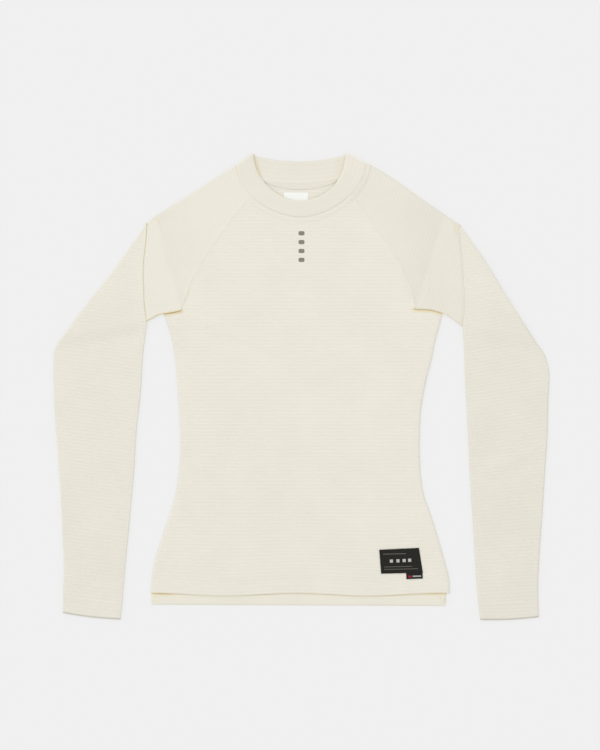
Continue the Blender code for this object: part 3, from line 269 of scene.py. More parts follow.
def lengths(points: Path) -> Numbers:
    """How far along a path each of its points lies."""
    steps = np.linalg.norm(np.diff(np.asarray(points, float), axis=0), axis=1)
    return np.concatenate([[0.0], np.cumsum(steps)])


def curve_through(points: Sequence, spacing: float) -> Path:
    """Draws a soft curve through a few points.

    Args:
        points: the points, in order.
        spacing: about how far apart the curve's own points are.

    Returns:
        The curve's points.
    """
    points = np.asarray(points, float)
    along = lengths(points)
    at = np.linspace(0, along[-1], max(3, round(along[-1] / spacing) + 1))
    return np.column_stack([smooth(along, points[:, axis], at) for axis in range(points.shape[1])])


def resampled(path: Path, spacing: float) -> Path:
    """The same path with its points evenly apart, about this spacing."""
    along = lengths(path)
    at = np.linspace(0, along[-1], max(2, round(along[-1] / spacing) + 1))
    return np.column_stack([np.interp(at, along, path[:, axis]) for axis in range(path.shape[1])])


def mirrored(path: Sequence, side: int) -> Path:
    """A path given in outward distances, on its side of the body."""
    return np.asarray(path, float) * (side, 1)


def inwards(path: Path, distance: Numbers | float) -> Path:
    """A path moved to its left, and so into an outline that runs anticlockwise."""
    steps = np.diff(path, axis=0)
    steps = steps / np.linalg.norm(steps, axis=1)[:, None]
    before = np.vstack([steps[:1], steps])
    after = np.vstack([steps, steps[-1:]])
    middle = before + after
    middle = middle / np.linalg.norm(middle, axis=1)[:, None]
    reach = distance / np.maximum(0.5, np.sum(middle * before, axis=1))
    return path + np.column_stack([-middle[:, 1], middle[:, 0]]) * reach[:, None]


def meeting(first: Path, second: Path) -> Numbers:
    """The point where the end of one path meets the start of the next, both drawn straight on."""
    along = first[-1] - first[-2]
    across = second[1] - second[0]
    turn = along[0] * across[1] - along[1] * across[0]
    if abs(turn) < 0.02 * np.linalg.norm(along) * np.linalg.norm(across):
        return (first[-1] + second[0]) / 2
    gap = second[0] - first[-1]
    return first[-1] + along * (gap[0] * across[1] - gap[1] * across[0]) / turn


def inset(outline: Outline, distances: dict[str, Numbers | float]) -> Outline:
    """Moves each path of an anticlockwise outline inwards and joins them again at the corners.

    Args:
        outline: the paths by name, in order.
        distances: how far each of them moves, or each of its points.

    Returns:
        The moved paths by name.
    """
    names = list(outline)
    moved = {name: inwards(outline[name], distances[name]) for name in names}
    for name, following in zip(names, names[1:] + names[:1]):
        corner = meeting(moved[name], moved[following])
        moved[name][-1] = moved[following][0] = corner
    return moved


def stations_along(path: Path, axis: Numbers) -> Numbers:
    """Each point's distance along an axis, never falling, so that a row can be cut at any of them."""
    return np.maximum.accumulate(path @ axis) + 1e-6 * np.arange(len(path))


def cut(path: Path, stations: Numbers, at: Numbers) -> Path:
    """The point of a path at each station."""
    return np.column_stack([np.interp(at, stations, path[:, axis]) for axis in (0, 1)])


def snapped(at: Numbers, marks: Sequence[float]) -> Numbers:
    """Row stations with the nearest one moved to each mark, so that a corner gets a row's end."""
    at = at.copy()
    for mark in marks:
        at[np.argmin(np.abs(at - mark))] = mark
    return at


def placed_bar(x: float, y: float, half_width: float, half_height: float, turn: float = 0.0) -> Bar:
    """A bar in metres from the origin, in axes that are turned by this angle."""
    x, y = (x - MIDDLE[0]) * MM, (y - MIDDLE[1]) * MM
    cos, sin = float(np.cos(turn)), float(np.sin(turn))
    return (x * cos + y * sin, y * cos - x * sin, half_width * MM, half_height * MM)


def placed_bars(table: Sequence[tuple]) -> tuple[tuple[Bar, Colour], ...]:
    """The patch's or the tab's bars, placed, and their threads."""
    return tuple((placed_bar(*bar, PATCH_TURN), thread) for *bar, thread in table)


def ridges(distance: Numbers, places: Sequence[float], half_width: float) -> Numbers:
    """Soft ridges 1 high at these distances from an edge."""
    return sum(np.exp(-(((distance - place) / half_width) ** 2)) for place in places)


def distance_to(path: Path, x: Numbers, y: Numbers) -> Numbers:
    """Measures how far points lie from a path.

    Args:
        path: the path's points.
        x: the points' distances across.
        y: the points' heights.

    Returns:
        The shortest distance from each point.
    """
    best = np.full(np.shape(x), np.inf)
    for (start_x, start_y), (end_x, end_y) in zip(path, path[1:]):
        run_x, run_y = end_x - start_x, end_y - start_y
        square = max(run_x**2 + run_y**2, 1e-9)
        along = np.clip(((x - start_x) * run_x + (y - start_y) * run_y) / square, 0, 1)
        best = np.minimum(best, (x - start_x - along * run_x) ** 2 + (y - start_y - along * run_y) ** 2)
    return np.sqrt(best)


def fold_heights(x: Numbers, y: Numbers, folds: Sequence[tuple[float, ...]]) -> Numbers:
    """Adds up the height that soft folds give at each place.

    Args:
        x: distances across.
        y: heights.
        folds: rows of start x, start y, end x, end y, half width and height.

    Returns:
        The height at each place.
    """
    total = np.zeros(np.shape(x))
    for start_x, start_y, end_x, end_y, half_width, height in folds:
        run_x, run_y = end_x - start_x, end_y - start_y
        length = np.hypot(run_x, run_y)
        along = ((x - start_x) * run_x + (y - start_y) * run_y) / length
        beside = ((x - start_x) * run_y - (y - start_y) * run_x) / length
        ends = soft_step(1 + along / half_width) * soft_step(1 + (length - along) / half_width)
        total = total + height * ends * np.exp(-((beside / half_width) ** 2))
    return total


@dataclass(frozen=True)
class Unevenness:
    """The slight lift and sag of cloth that lies on a table: a few long soft waves that don't repeat."""

    height: float = 0.22
    fade: float = 20.0
    lengths: tuple[float, ...] = (171.0, 113.0, 67.0, 41.0)
    headings: tuple[float, ...] = (0.35, 1.9, 2.75, 1.1)
    starts: tuple[float, ...] = (0.4, 2.1, 5.0, 3.3)

    def drape(self, x: Numbers, y: Numbers, folds: Sequence[tuple], from_edge: Numbers) -> Numbers:
        """The height that the folds and the waves add. The waves fade towards the cloth's edges."""
        return fold_heights(x, y, folds) + self.at(x, y) * soft_step(from_edge / self.fade)

    def at(self, x: Numbers, y: Numbers) -> Numbers:
        """The height that the waves add at each place."""
        total = np.zeros(np.shape(x))
        for length, heading, start in zip(self.lengths, self.headings, self.starts):
            phase = (x * np.cos(heading) + y * np.sin(heading)) * 2 * np.pi / length
            total = total + np.sin(phase + start) * length / self.lengths[0]
        return total * self.height


@dataclass(frozen=True)
class Knit:
    """The ribbed knit's own sizes."""

    wall: float = 1.5
    gap: float = 0.3
    rib_pitch: float = 5.0
    seam: float = 0.006  # what is left between a seam line and the cloth on either side
    rib_rise: float = 0.2
    rows_per_rib: int = 6

    @property
    def layer(self) -> float:
        """From the underside of one layer to that of the next."""
        return self.wall + self.gap

    @property
    def flat_top(self) -> float:
        """Height of two layers that lie on each other."""
        return self.layer + self.wall

    @property
    def fold_rise(self) -> float:
        """What the two layers of a folded sleeve add."""
        return 2 * self.layer

    def ribs(self, count: Numbers) -> Numbers:
        """Height of the ribs, from 0 in a valley to the full rise on a crest, by how many ribs lie before."""
        return self.rib_rise * (0.5 - 0.5 * np.cos(2 * np.pi * np.asarray(count))) ** 0.8

    def rows(self, start: float, end: float) -> Numbers:
        """Stations of fine rows, a whole number of ribs from start to end."""
        ribs = max(1, round(abs(end - start) / self.rib_pitch))
        return np.linspace(start, end, self.rows_per_rib * ribs + 1)


@dataclass(frozen=True)
class NeckCut:
    """The neck's seam lines, each a hanging arc between the two shoulder points."""

    half_width: float = 92.3
    height: float = 316.3
    lean: float = 1.3  # the right end lies this much higher, and the left end lower
    front_depth: float = 75.5
    front_power: float = 1.8
    back_depth: float = 29.2
    back_power: float = 2.0
    front_start: float = 72.0  # where the raglan seams meet the neck, from the centre
    back_start: float = 60.0

    def start(self, back: bool) -> float:
        """The turn at which a raglan seam meets the neck seam."""
        distance, power = (self.back_start, self.back_power) if back else (self.front_start, self.front_power)
        return float(np.arccos((distance / self.half_width) ** (power / 2)))

    def line(self, turns: Numbers, back: bool = False, side: int = 1) -> Path:
        """Points on a neck seam.

        Args:
            turns: where they lie: 0 is the seam's left end, and pi its right end.
            back: whether it is the back's seam.
            side: 1, or -1 for the seam seen from its other side.

        Returns:
            A point for each turn.
        """
        depth, power = (self.back_depth, self.back_power) if back else (self.front_depth, self.front_power)
        return round_arc(0, self.half_width, self.height, depth, power, turns, side * self.lean)

    def raglan(self, points: Sequence, side: int, back: bool = False) -> Path:
        """Draws a raglan seam from the neck down to the underarm.

        Args:
            points: the seam's points below the neck, in outward distances.
            side: 1 for the wearer's left, at +X, or -1.
            back: whether it is the back's seam.

        Returns:
            The seam's points on its own side of the body.
        """
        top = self.line(np.array([self.start(back)]), back, -side)[0]
        return mirrored(curve_through([(abs(top[0]), top[1]), *points], 7.0), side)


def round_arc(
    centre: float, half_width: float, height: float, depth: float, power: float, turns: Numbers, lean: float
) -> Path:
    """Draws the hanging arc of a neck line.

    Args:
        centre: the arc's middle, across.
        half_width: from its middle to either end.
        height: the height of its ends.
        depth: how far it hangs.
        power: its roundness: 2 is an ellipse.
        turns: places on it, from 0 at its left end to pi at its right end.
        lean: how much higher the right end lies, and how much lower the left end.

    Returns:
        A point for each turn.
    """
    across = np.cos(turns)
    down = np.abs(np.sin(turns)) ** (2 / power)
    along = np.sign(across) * np.abs(across) ** (2 / power)
    return np.column_stack([centre - half_width * along, height - depth * down - lean * along])


class ClothMesh:
    """The points, weave coordinates and faces of one piece while it is put together, in millimetres."""

    def __init__(self, rib_pitch: float) -> None:
        """Starts an empty piece whose weave coordinates count in ribs."""
        self.rib_pitch = rib_pitch
        self.points: list[tuple[float, float, float]] = []
        self.weave: list[tuple[float, float]] = []
        self.depth: list[float] = []
        self.faces: Rows = []

    def place(
        self, path: Path, heights: Numbers | float, weave: Path | None = None, depth: Numbers | float = 1.0
    ) -> list[int]:
        """Adds the points of a path.

        Args:
            path: their places in plan.
            heights: their heights.
            weave: their weave coordinates, or None for ribs that run across.
            depth: how much painted shade they carry: from 0 in the open to 1 deep in a seam or a fold, where
                it is warm, or below 0 for plain painted shade.

        Returns:
            The new points' numbers.
        """
        first = len(self.points)
        path = np.asarray(path, float)
        weave = path / self.rib_pitch if weave is None else weave
        heights = np.broadcast_to(heights, len(path)).tolist()
        self.points += [(x, y, z) for (x, y), z in zip(path.tolist(), heights)]
        self.weave += [tuple(pair) for pair in np.asarray(weave).tolist()]
        self.depth += np.broadcast_to(depth, len(path)).tolist()
        return list(range(first, len(self.points)))

    def face(self, *corners: int) -> None:
        """Adds a face, without the corners that repeat."""
        ring = [corner for i, corner in enumerate(corners) if corner != corners[i - 1]]
        if len(set(ring)) > 2:
            self.faces.append(ring)

    def bridge(self, first: list[int], second: list[int]) -> None:
        """Fills the strip between two rows of points that run side by side, each with its own spacing."""
        shares = []
        for row in (first, second):
            along = lengths([self.points[number] for number in row])
            shares.append(along / max(along[-1], 1e-9))
        i = j = 0
        while i < len(first) - 1 or j < len(second) - 1:
            second_done = j == len(second) - 1
            if second_done or (i < len(first) - 1 and shares[0][i + 1] <= shares[1][j + 1]):
                self.face(first[i], first[i + 1], second[j])
                i += 1
            else:
                self.face(first[i], second[j + 1], second[j])
                j += 1

    def rows(self, rows: Rows) -> None:
        """Fills the strips between rows of equally many points."""
        for low, high in zip(rows, rows[1:]):
            for i in range(len(low) - 1):
                self.face(low[i], low[i + 1], high[i + 1], high[i])

    def grid(self, plan: Numbers, heights: Numbers, weave: Numbers, depth: Numbers) -> Rows:
        """Places rows of points.

        Args:
            plan: their places, row by row and point by point.
            heights: their heights.
            weave: their weave coordinates.
            depth: how much painted shade they carry, deep in a seam or a fold.

        Returns:
            The numbers of each row's points.
        """
        return [self.place(*row) for row in zip(plan, heights, weave, depth)]

    def ring(self, outline: Outline, height_at: Callable[[str, Path], Numbers]) -> Border:
        """Places a closed outline with its corners shared.

        Args:
            outline: its paths by name.
            height_at: the heights along a path, from its name and its points.

        Returns:
            The numbers of each path's points.
        """
        placed = {}
        names = list(outline)
        for name in names:
            path = outline[name][:-1]
            placed[name] = self.place(path, height_at(name, path), None, 0.0)
        for name, following in zip(names, names[1:] + names[:1]):
            placed[name].append(placed[following][0])
        return placed

    def cap(self, *paths: list[int]) -> None:
        """Adds one flat face inside a closed run of paths."""
        self.faces.append([number for path in paths for number in path[:-1]])

    def finish(self, name: str, material: bpy.types.Material, shift: Shift | None = None) -> Piece:
        """Makes the object.

        Args:
            name: the object's name.
            material: its only material.
            shift: how far each point moves along Y, from its place, as for a wavy hem.

        Returns:
            The object, at the origin.
        """
        points = np.array(self.points)
        if shift is not None:
            points[:, 1] += shift(points[:, 0], points[:, 1])
        points[:, :2] -= MIDDLE
        mesh = bpy.data.meshes.new(name)
        mesh.from_pydata((points * MM).tolist(), [], self.faces)
        weave = np.array(self.weave)
        corners = np.empty(len(mesh.loops), dtype=np.int32)
        mesh.loops.foreach_get("vertex_index", corners)
        layer = mesh.uv_layers.new(name="weave")
        layer.data.foreach_set("uv", weave[corners].astype(np.float32).ravel())
        # Each point's painted shade, which the knit's material reads to darken its colour
        depth = mesh.attributes.new("depth", "FLOAT", "POINT")
        depth.data.foreach_set("value", np.array(self.depth, dtype=np.float32))
        shaped = bmesh.new()
        shaped.from_mesh(mesh)
        loose = [vertex for vertex in shaped.verts if not vertex.link_faces]
        bmesh.ops.delete(shaped, geom=loose, context="VERTS")
        bmesh.ops.triangulate(shaped, faces=[face for face in shaped.faces if len(face.verts) > 4])
        bmesh.ops.recalc_face_normals(shaped, faces=shaped.faces)
        for face in shaped.faces:
            face.smooth = True
        shaped.to_mesh(mesh)
        shaped.free()
        mesh.set_sharp_from_angle(angle=np.radians(55))
        mesh.materials.append(material)
        made = bpy.data.objects.new(name, mesh)
        bpy.context.collection.objects.link(made)
        return made


class NodeBench:
    """A node tree, with short calls to add and join nodes."""

    def __init__(self, tree: bpy.types.NodeTree) -> None:
        """Takes the tree that the nodes go into."""
        self.nodes, self.links = tree.nodes, tree.links

    def add(self, kind: str, settings: dict | None = None, **inputs: object) -> bpy.types.Node:
        """Adds a node.

        Args:
            kind: the node's type.
            settings: its properties by name.
            inputs: values, or sockets to join, by the input's name with a space written as two underscores,
                or by n and its number.

        Returns:
            The node.
        """
        node = self.nodes.new(kind)
        for key, value in (settings or {}).items():
            setattr(node, key, value)
        for key, value in inputs.items():
            name = int(key[1:]) if key[0] == "n" and key[1:].isdigit() else key.replace("__", " ")
            self.join(value, node.inputs[name])
        return node

    def join(self, value: object, socket: Socket) -> None:
        """Joins a socket to an input, or sets the input's value."""
        if isinstance(value, Socket):
            self.links.new(value, socket)
        else:
            socket.default_value = value

    def math(self, operation: str, *values: object) -> Socket:
        """The result of a Math node on up to three values or sockets."""
        node = self.add("ShaderNodeMath", {"operation": operation})
        for value, socket in zip(values, node.inputs):
            self.join(value, socket)
        return node.outputs[0]

    def total(self, first: object, *others: object) -> object:
        """The sum of values or sockets."""
        for other in others:
            first = self.math("ADD", first, other)
        return first

    def split(self, vector: Socket) -> tuple[Socket, Socket]:
        """The X and Y of a vector."""
        outputs = self.add("ShaderNodeSeparateXYZ", Vector=vector).outputs
        return outputs["X"], outputs["Y"]


class MaterialBench(NodeBench):
    """A material's node tree, with its Principled shader and Object coordinates."""

    def __init__(self, name: str) -> None:
        """Starts a material."""
        self.material = bpy.data.materials.new(name)
        self.material.use_nodes = True
        super().__init__(self.material.node_tree)
        self.shader = self.nodes["Principled BSDF"]
        self.place = self.add("ShaderNodeTexCoord").outputs["Object"]

    def mixed(self, share: object, first: object, second: object) -> Socket:
        """A colour between two, by share."""
        node = self.add("ShaderNodeMix", {"data_type": "RGBA"})
        for name, value in (("Factor", share), ("A", first), ("B", second)):
            kinds = [socket for socket in node.inputs if socket.name == name and socket.enabled]
            value = (*value, 1.0) if isinstance(value, tuple) and len(value) == 3 else value
            self.join(value, kinds[0])
        return next(socket for socket in node.outputs if socket.enabled)

    def noise(self, scale: float, detail: float = 2.0) -> Socket:
        """Soft noise from 0 to 1."""
        return self.add("ShaderNodeTexNoise", Vector=self.place, Scale=scale, Detail=detail).outputs["Fac"]

    def wave(self, at: Socket, length: float = 1.0) -> Socket:
        """A sine wave of this length."""
        return self.math("SINE", self.math("MULTIPLY", at, 2 * np.pi / length))

    def off(self, at: Socket, middle: float) -> Socket:
        """How far a coordinate lies from a middle, on either side of it."""
        return self.math("ABSOLUTE", self.math("SUBTRACT", at, middle))

    def ranged(self, value: object, low: float, high: float, to_low: float, to_high: float) -> Socket:
        """A value moved from one range to another, and held inside it."""
        node = self.add("ShaderNodeMapRange", n0=value, n1=low, n2=high, n3=to_low, n4=to_high)
        return node.outputs[0]

    def bump(self, height: object, distance: float, strength: float, normal: object = None) -> Socket:
        """A bumped normal. Distance is the relief's height in metres."""
        node = self.add("ShaderNodeBump", Strength=strength, Distance=distance, Height=height)
        if normal is not None:
            self.join(normal, node.inputs["Normal"])
        return node.outputs["Normal"]

    def set(self, **inputs: object) -> None:
        """Sets or joins the shader's own inputs, with a space written as two underscores."""
        for key, value in inputs.items():
            socket = self.shader.inputs[key.replace("__", " ")]
            coloured = isinstance(value, tuple) and socket.type == "RGBA"
            self.join((*value, 1.0) if coloured else value, socket)


@dataclass(frozen=True)
class KnitFinish:
    """Ribbed knit in undyed cream yarn: soft loops, rib valleys in painted shade, a slight mottle and a short
    nap, with painted shade in seams and folds.
    """

    name: str = "ribbed_knit"
    tint_and_shade: Colour = (1.0, 1.0, 1.0)  # how this piece's colour differs from the others': partly its own tint, partly painted shade, darker on the pieces that catch less light
    # The yarn's colour on the rib crests, and in the valleys darker as painted shade
    crest: Colour = (0.826, 0.794, 0.712)
    shaded_valley: Colour = (0.812, 0.777, 0.69)
    half_shade_tint: Colour = (0.79, 0.705, 0.47)  # painted warm shade, half deep in a seam or a fold, for light that has come through the yarn
    full_shade_tint: Colour = (0.60, 0.40, 0.19)  # painted dark shade, right down in a seam or a fold
    mottle: float = 0.03
    painted_falloff: float = 0.022  # painted shade: how much darker the cloth is drawn towards the hem, where less light falls
    lift: float = 0.0  # painted light: how much brighter it is drawn above the armhole, where more light falls
    wale: float = 1.05  # width of one column of loops, in millimetres
    course: float = 0.8  # height of one row of loops
    loop_relief: float = 0.00012
    rib_pitch: float = 5.0
    marks: tuple[Bar, ...] = ()  # printed
    ink: Colour = (0.19, 0.185, 0.15)

    def make(self) -> bpy.types.Material:
        """Builds the material on the weave coordinates, which count in ribs."""
        bench = MaterialBench(self.name)
        across, count = bench.split(bench.add("ShaderNodeUVMap", {"uv_map": "weave"}).outputs["UV"])
        crest = bench.ranged(bench.math("COSINE", bench.math("MULTIPLY", count, 2 * np.pi)), -1, 1, 1, 0)
        wales = bench.math("PINGPONG", bench.math("MULTIPLY", across, self.rib_pitch / self.wale), 0.5)
        courses = bench.math("MULTIPLY", count, self.rib_pitch / self.course)
        loops = bench.wave(bench.total(courses, bench.math("MULTIPLY", wales, 0.9)))
        yarn = bench.total(bench.math("MULTIPLY", loops, 0.5), bench.wave(wales))

        broad, fine = bench.noise(14.0, 3.0), bench.noise(900.0)
        height = bench.split(bench.place)[1]
        # The depth attribute carries each point's painted shade
        depth = bench.add("ShaderNodeAttribute", {"attribute_name": "depth"}).outputs["Fac"]
        uneven = self.mottle / 2
        # The mottle is the yarn's own; the rest is painted light and shade: darker towards the hem, lighter
        # above the armhole, darker in painted shade
        shade = bench.total(
            1.0,
            bench.ranged(broad, 0.3, 0.7, -uneven, uneven),
            bench.ranged(fine, 0.3, 0.7, -uneven, uneven),
            bench.ranged(height, -0.3, 0.15, -self.painted_falloff, 0),
            bench.ranged(height, 0.09, 0.15, 0, self.lift),
            bench.math("MINIMUM", depth, 0.0),
            bench.ranged(depth, 0, 0.5, 0, -0.07),
        )
        # The rib valleys are painted darker than the crests, as shade, and each piece gets its tint and
        # painted shade
        low, high = (tuple(a * b for a, b in zip(colour, self.tint_and_shade)) for colour in (self.shaded_valley, self.crest))
        colour = bench.mixed(bench.ranged(crest, 0, 0.75, 0, 1), low, high)
        colour = bench.add("ShaderNodeVectorMath", {"operation": "SCALE"}, n0=colour, Scale=shade).outputs[0]
        # Painted shade where the depth attribute asks for it: warm half way, then dark brown
        colour = bench.mixed(bench.ranged(depth, 0, 0.5, 0, 1), colour, self.half_shade_tint)
        colour = bench.mixed(bench.ranged(depth, 0.5, 1, 0, 1), colour, self.full_shade_tint)
        if self.marks:
            colour = bench.mixed(self.mark_mask(bench), colour, self.ink)
        bench.set(
            Base__Color=colour,
            Roughness=bench.ranged(fine, 0.2, 0.8, 0.84, 0.97),
            Normal=bench.bump(fine, 0.0001, 0.5, bench.bump(yarn, self.loop_relief, 0.7)),
            Sheen__Weight=0.15,
            Sheen__Roughness=0.45,
            Sheen__Tint=(1.0, 0.98, 0.93),
            Specular__IOR__Level=0.2,
        )
        return bench.material

    def mark_mask(self, bench: MaterialBench) -> Socket:
        """Where the printed marks lie: 1 inside a mark, with its corners rounded, and 0 outside."""
        split = bench.split(bench.place)
        mask: object = 0.0
        for mark in self.marks:
            powers = []
            for at, middle, half in zip(split, mark, mark[2:]):
                powers.append(bench.math("POWER", bench.math("DIVIDE", bench.off(at, middle), half), 4.0))
            power = bench.total(*powers)
            mask = bench.math("MAXIMUM", mask, bench.ranged(power, 0.8, 1.3, 0.92, 0))
        return mask


@dataclass(frozen=True)
class WovenFinish:
    """A plain or satin weave with fine threads across and along, and plain coloured bars if it has any."""

    name: str
    ground: Colour
    second: Colour
    thread: float = 0.00035  # from one thread to the next, in metres
    relief: float = 0.00008
    roughness: tuple[float, float] = (0.6, 0.8)
    sheen: float = 0.15
    specular: float = 0.35
    turn: float = 0.0  # how far the weave is turned, and its bars with it
    bars: tuple[tuple[Bar, Colour], ...] = ()

    def make(self) -> bpy.types.Material:
        """Builds the material on Object coordinates."""
        bench = MaterialBench(self.name)
        turned = bench.add("ShaderNodeMapping", Vector=bench.place, Rotation=(0.0, 0.0, -self.turn))
        split = bench.split(turned.outputs["Vector"])
        threads = bench.math("MULTIPLY", *(bench.wave(at, self.thread) for at in split))
        grain = bench.noise(400.0, 3.0)
        woven, worn = bench.ranged(threads, -1, 1, 0.15, 0.6), bench.ranged(grain, 0.3, 0.7, -0.15, 0.3)
        colour = bench.mixed(bench.total(woven, worn), self.ground, self.second)
        soft = 0.0001
        for bar, tint in self.bars:
            inside: object = 1.0
            for at, middle, half in zip(split, bar, bar[2:]):
                shown = bench.ranged(bench.off(at, middle), half - soft, half + soft, 1, 0)
                inside = bench.math("MULTIPLY", inside, shown)
            colour = bench.mixed(inside, colour, tint)
        bench.set(
            Base__Color=colour,
            Roughness=bench.ranged(grain, 0.2, 0.8, *self.roughness),
            Normal=bench.bump(grain, 0.0001, 0.3, bench.bump(threads, self.relief, 0.8)),
            Sheen__Weight=self.sheen,
            Sheen__Roughness=0.4,
            Specular__IOR__Level=self.specular,
        )
        return bench.material


@dataclass(frozen=True)
class ThreadFinish:
    """Sewing thread: two plies twisted, slightly glossy."""

    name: str = "sewing_thread"
    colour: Colour = (0.90, 0.865, 0.78)

    def make(self) -> bpy.types.Material:
        """Builds the material on Object coordinates."""
        bench = MaterialBench(self.name)
        slanted = {"bands_direction": "DIAGONAL"}
        twist = bench.add("ShaderNodeTexWave", slanted, Vector=bench.place, Scale=900.0)
        grain = bench.noise(1500.0)
        darker = tuple(0.94 * part for part in self.colour)
        bench.set(
            Base__Color=bench.mixed(bench.ranged(grain, 0.3, 0.7, 0, 1), darker, self.colour),
            Roughness=bench.ranged(grain, 0.2, 0.8, 0.5, 0.7),
            Normal=bench.bump(twist.outputs["Fac"], 0.00005, 0.6),
            Sheen__Weight=0.2,
            Specular__IOR__Level=0.4,
        )
        return bench.material


@dataclass(frozen=True)
class FloorFinish:
    """The plain pale light table: matt, lit softly from below, with a barely seen grain."""

    colour: Colour = (0.30, 0.30, 0.30)
    glow: float = 0.543

    def make(self) -> bpy.types.Material:
        """Builds the material on Object coordinates."""
        bench = MaterialBench("pale_table")
        grain = bench.noise(220.0, 3.0)
        darker = tuple(0.995 * part for part in self.colour)
        bench.set(
            Base__Color=bench.mixed(grain, darker, self.colour),
            Roughness=bench.ranged(grain, 0.2, 0.8, 0.85, 0.95),
            Specular__IOR__Level=0.1,
            Emission__Color=(1.0, 1.0, 1.0),
            Emission__Strength=self.glow,
        )
        return bench.material


@dataclass
class BodyCut:
    """The side edges, hems and underarms that the front and the back share."""

    front_hem: float = -294.8
    back_hem_left: float = -309.4
    back_hem_right: float = -311.2
    tuck: float = 6.0  # the back's right corner lies this far inside the front's
    tuck_reach: float = 45.0
    wave: float = 2.1
    wave_length: float = 203.0
    wave_crest: float = -7.0
    wave_fade: float = 130.0

    @property
    def back_hem(self) -> float:
        """The back hem's height at its middle."""
        return (self.back_hem_left + self.back_hem_right) / 2

    def side(self, column: int, low: float, spacing: float = 7.0) -> Path:
        """One side edge, from the underarm down to a hem at this height."""
        table = np.array(BODY_SIDES[::-1])
        heights = np.linspace(low, table[-1, 0], round((table[-1, 0] - low) / spacing) + 1)
        inside = np.clip(heights, table[0, 0], None)
        return np.column_stack([smooth(table[:, 0], table[:, column], inside), heights])[::-1]

    def outline(
        self, neck: Path, left_seam: Path, right_seam: Path, hem_height: float, tuck: float
    ) -> Outline:
        """The outline of a body panel.

        Args:
            neck: its neck seam, from right to left.
            left_seam: its left raglan seam, from the neck down.
            right_seam: its right raglan seam, from the neck down.
            hem_height: the height of its hem.
            tuck: how far its right corner lies inside.

        Returns:
            Its paths by name, anticlockwise from the left end of its hem.
        """
        left_side = self.side(1, hem_height)
        right_side = self.side(2, hem_height)[::-1]
        right_side[:, 0] -= tuck * soft_step(1 - (right_side[:, 1] - hem_height) / self.tuck_reach)
        left_lap = mirrored(underarm_parts(LEFT_UNDERARM)[0], -1)
        right_lap = underarm_parts(RIGHT_UNDERARM)[0][::-1]
        left_side[0] = left_lap[-1]
        right_side[-1] = right_lap[0]
        return {
            "hem": np.linspace(left_side[-1], right_side[0], 40),
            "right_side": right_side,
            "right_lap": right_lap,
            "right_raglan": right_seam[::-1],
            "neck": neck,
            "left_raglan": left_seam,
            "left_lap": left_lap,
            "left_side": left_side,
        }

    def front_shift(self, x: Numbers, y: Numbers) -> Numbers:
        """The waves of the front hem, which fade up the body."""
        wave = self.wave * np.cos(2 * np.pi * (x - self.wave_crest) / self.wave_length)
        return wave * soft_step(1 - (y - self.front_hem) / self.wave_fade)

    def back_shift(self, x: Numbers, y: Numbers) -> Numbers:
        """The slant of the back hem."""
        slant = (self.back_hem_right - self.back_hem_left) / 2 * np.clip(x / 210.0, -1, 1)
        return slant * soft_step(1 - (y - self.back_hem) / 60.0)


@dataclass(frozen=True)
class SeamPress:
    """How the raglan and neck seams flatten, lift and shade the cloth on both sides of them."""

    reach: float = 0.9  # width of the soft edge beside a seam
    drop: float = 0.02
    shade: float = 0.1
    raglan_press: float = 5.0  # how far from a raglan seam the ribs are flatter
    neck_press: float = 6.5
    flatter: float = 0.8
    raglan_lift: float = 0.55  # the seam allowances under the seams raise them
    raglan_reach: float = 4.0
    neck_lift: float = 0.85
    neck_reach: float = 9.0
    shoulder_lift: float = 0.4  # how much more the neck seam lifts towards the shoulders
    shoulder_start: float = 64.0
    shoulder_reach: float = 20.0
    neck_rows: tuple[float, float] = (1.7, 5.2)  # the two rows of stitches round the neck, from its seam
    between_rows: float = 3.4
    stitch_pull: float = 0.15

    def around_neck(self, x: Numbers) -> Numbers:
        """How much the neck seam lifts the cloth: more towards the shoulders."""
        share = soft_step((np.abs(x) - self.shoulder_start) / self.shoulder_reach)
        return self.neck_lift + self.shoulder_lift * share

    def lift(self, collar: Numbers, raglans: Numbers, x: Numbers) -> Numbers:
        """Works out how much the seam allowances lift the cloth.

        Args:
            collar: distances from the neck seam.
            raglans: distances from the raglan seam.
            x: distances across.

        Returns:
            The lift at each place.
        """
        beside_raglan = self.raglan_lift * soft_step(1 - raglans / self.raglan_reach)
        beside_neck = self.around_neck(x) * soft_step((self.neck_reach - collar) / 4.0)
        swell, rows = ridges(collar, (self.between_rows,), 1.2), ridges(collar, self.neck_rows, 0.7)
        return np.maximum(beside_raglan, beside_neck) + self.stitch_pull * swell - self.stitch_pull * rows

    def rib_share(self, collar: Numbers, raglans: Numbers) -> Numbers:
        """How much of the ribs' height is left beside the seams."""
        beside_neck = 0.8 * soft_step(1 - collar / self.neck_press)
        return 1 - self.flatter * np.maximum(soft_step(1 - raglans / self.raglan_press), beside_neck)


CREASE_DROP = 1.5  # how far the deepest crease lies down


def side_ridge(distance: Numbers) -> Numbers:
    """The low ridge beside a closed side, by the distance from it."""
    return 0.3 * ridges(distance, (7.0,), 1.9)


def stitch_groove(distance: Numbers, rows: Sequence[float]) -> Numbers:
    """How far rows of stitches pull the cloth down, by the distance from where it is turned up."""
    return 0.28 * ridges(distance, rows, 0.8)


def underarm_parts(underarm: Sequence) -> tuple[Path, Path]:
    """The sleeve's lower edge: the stretch against the body, and the one that runs on to the fold."""
    return curve_through(underarm[:3], 4.0), curve_through(underarm[2:], 4.0)


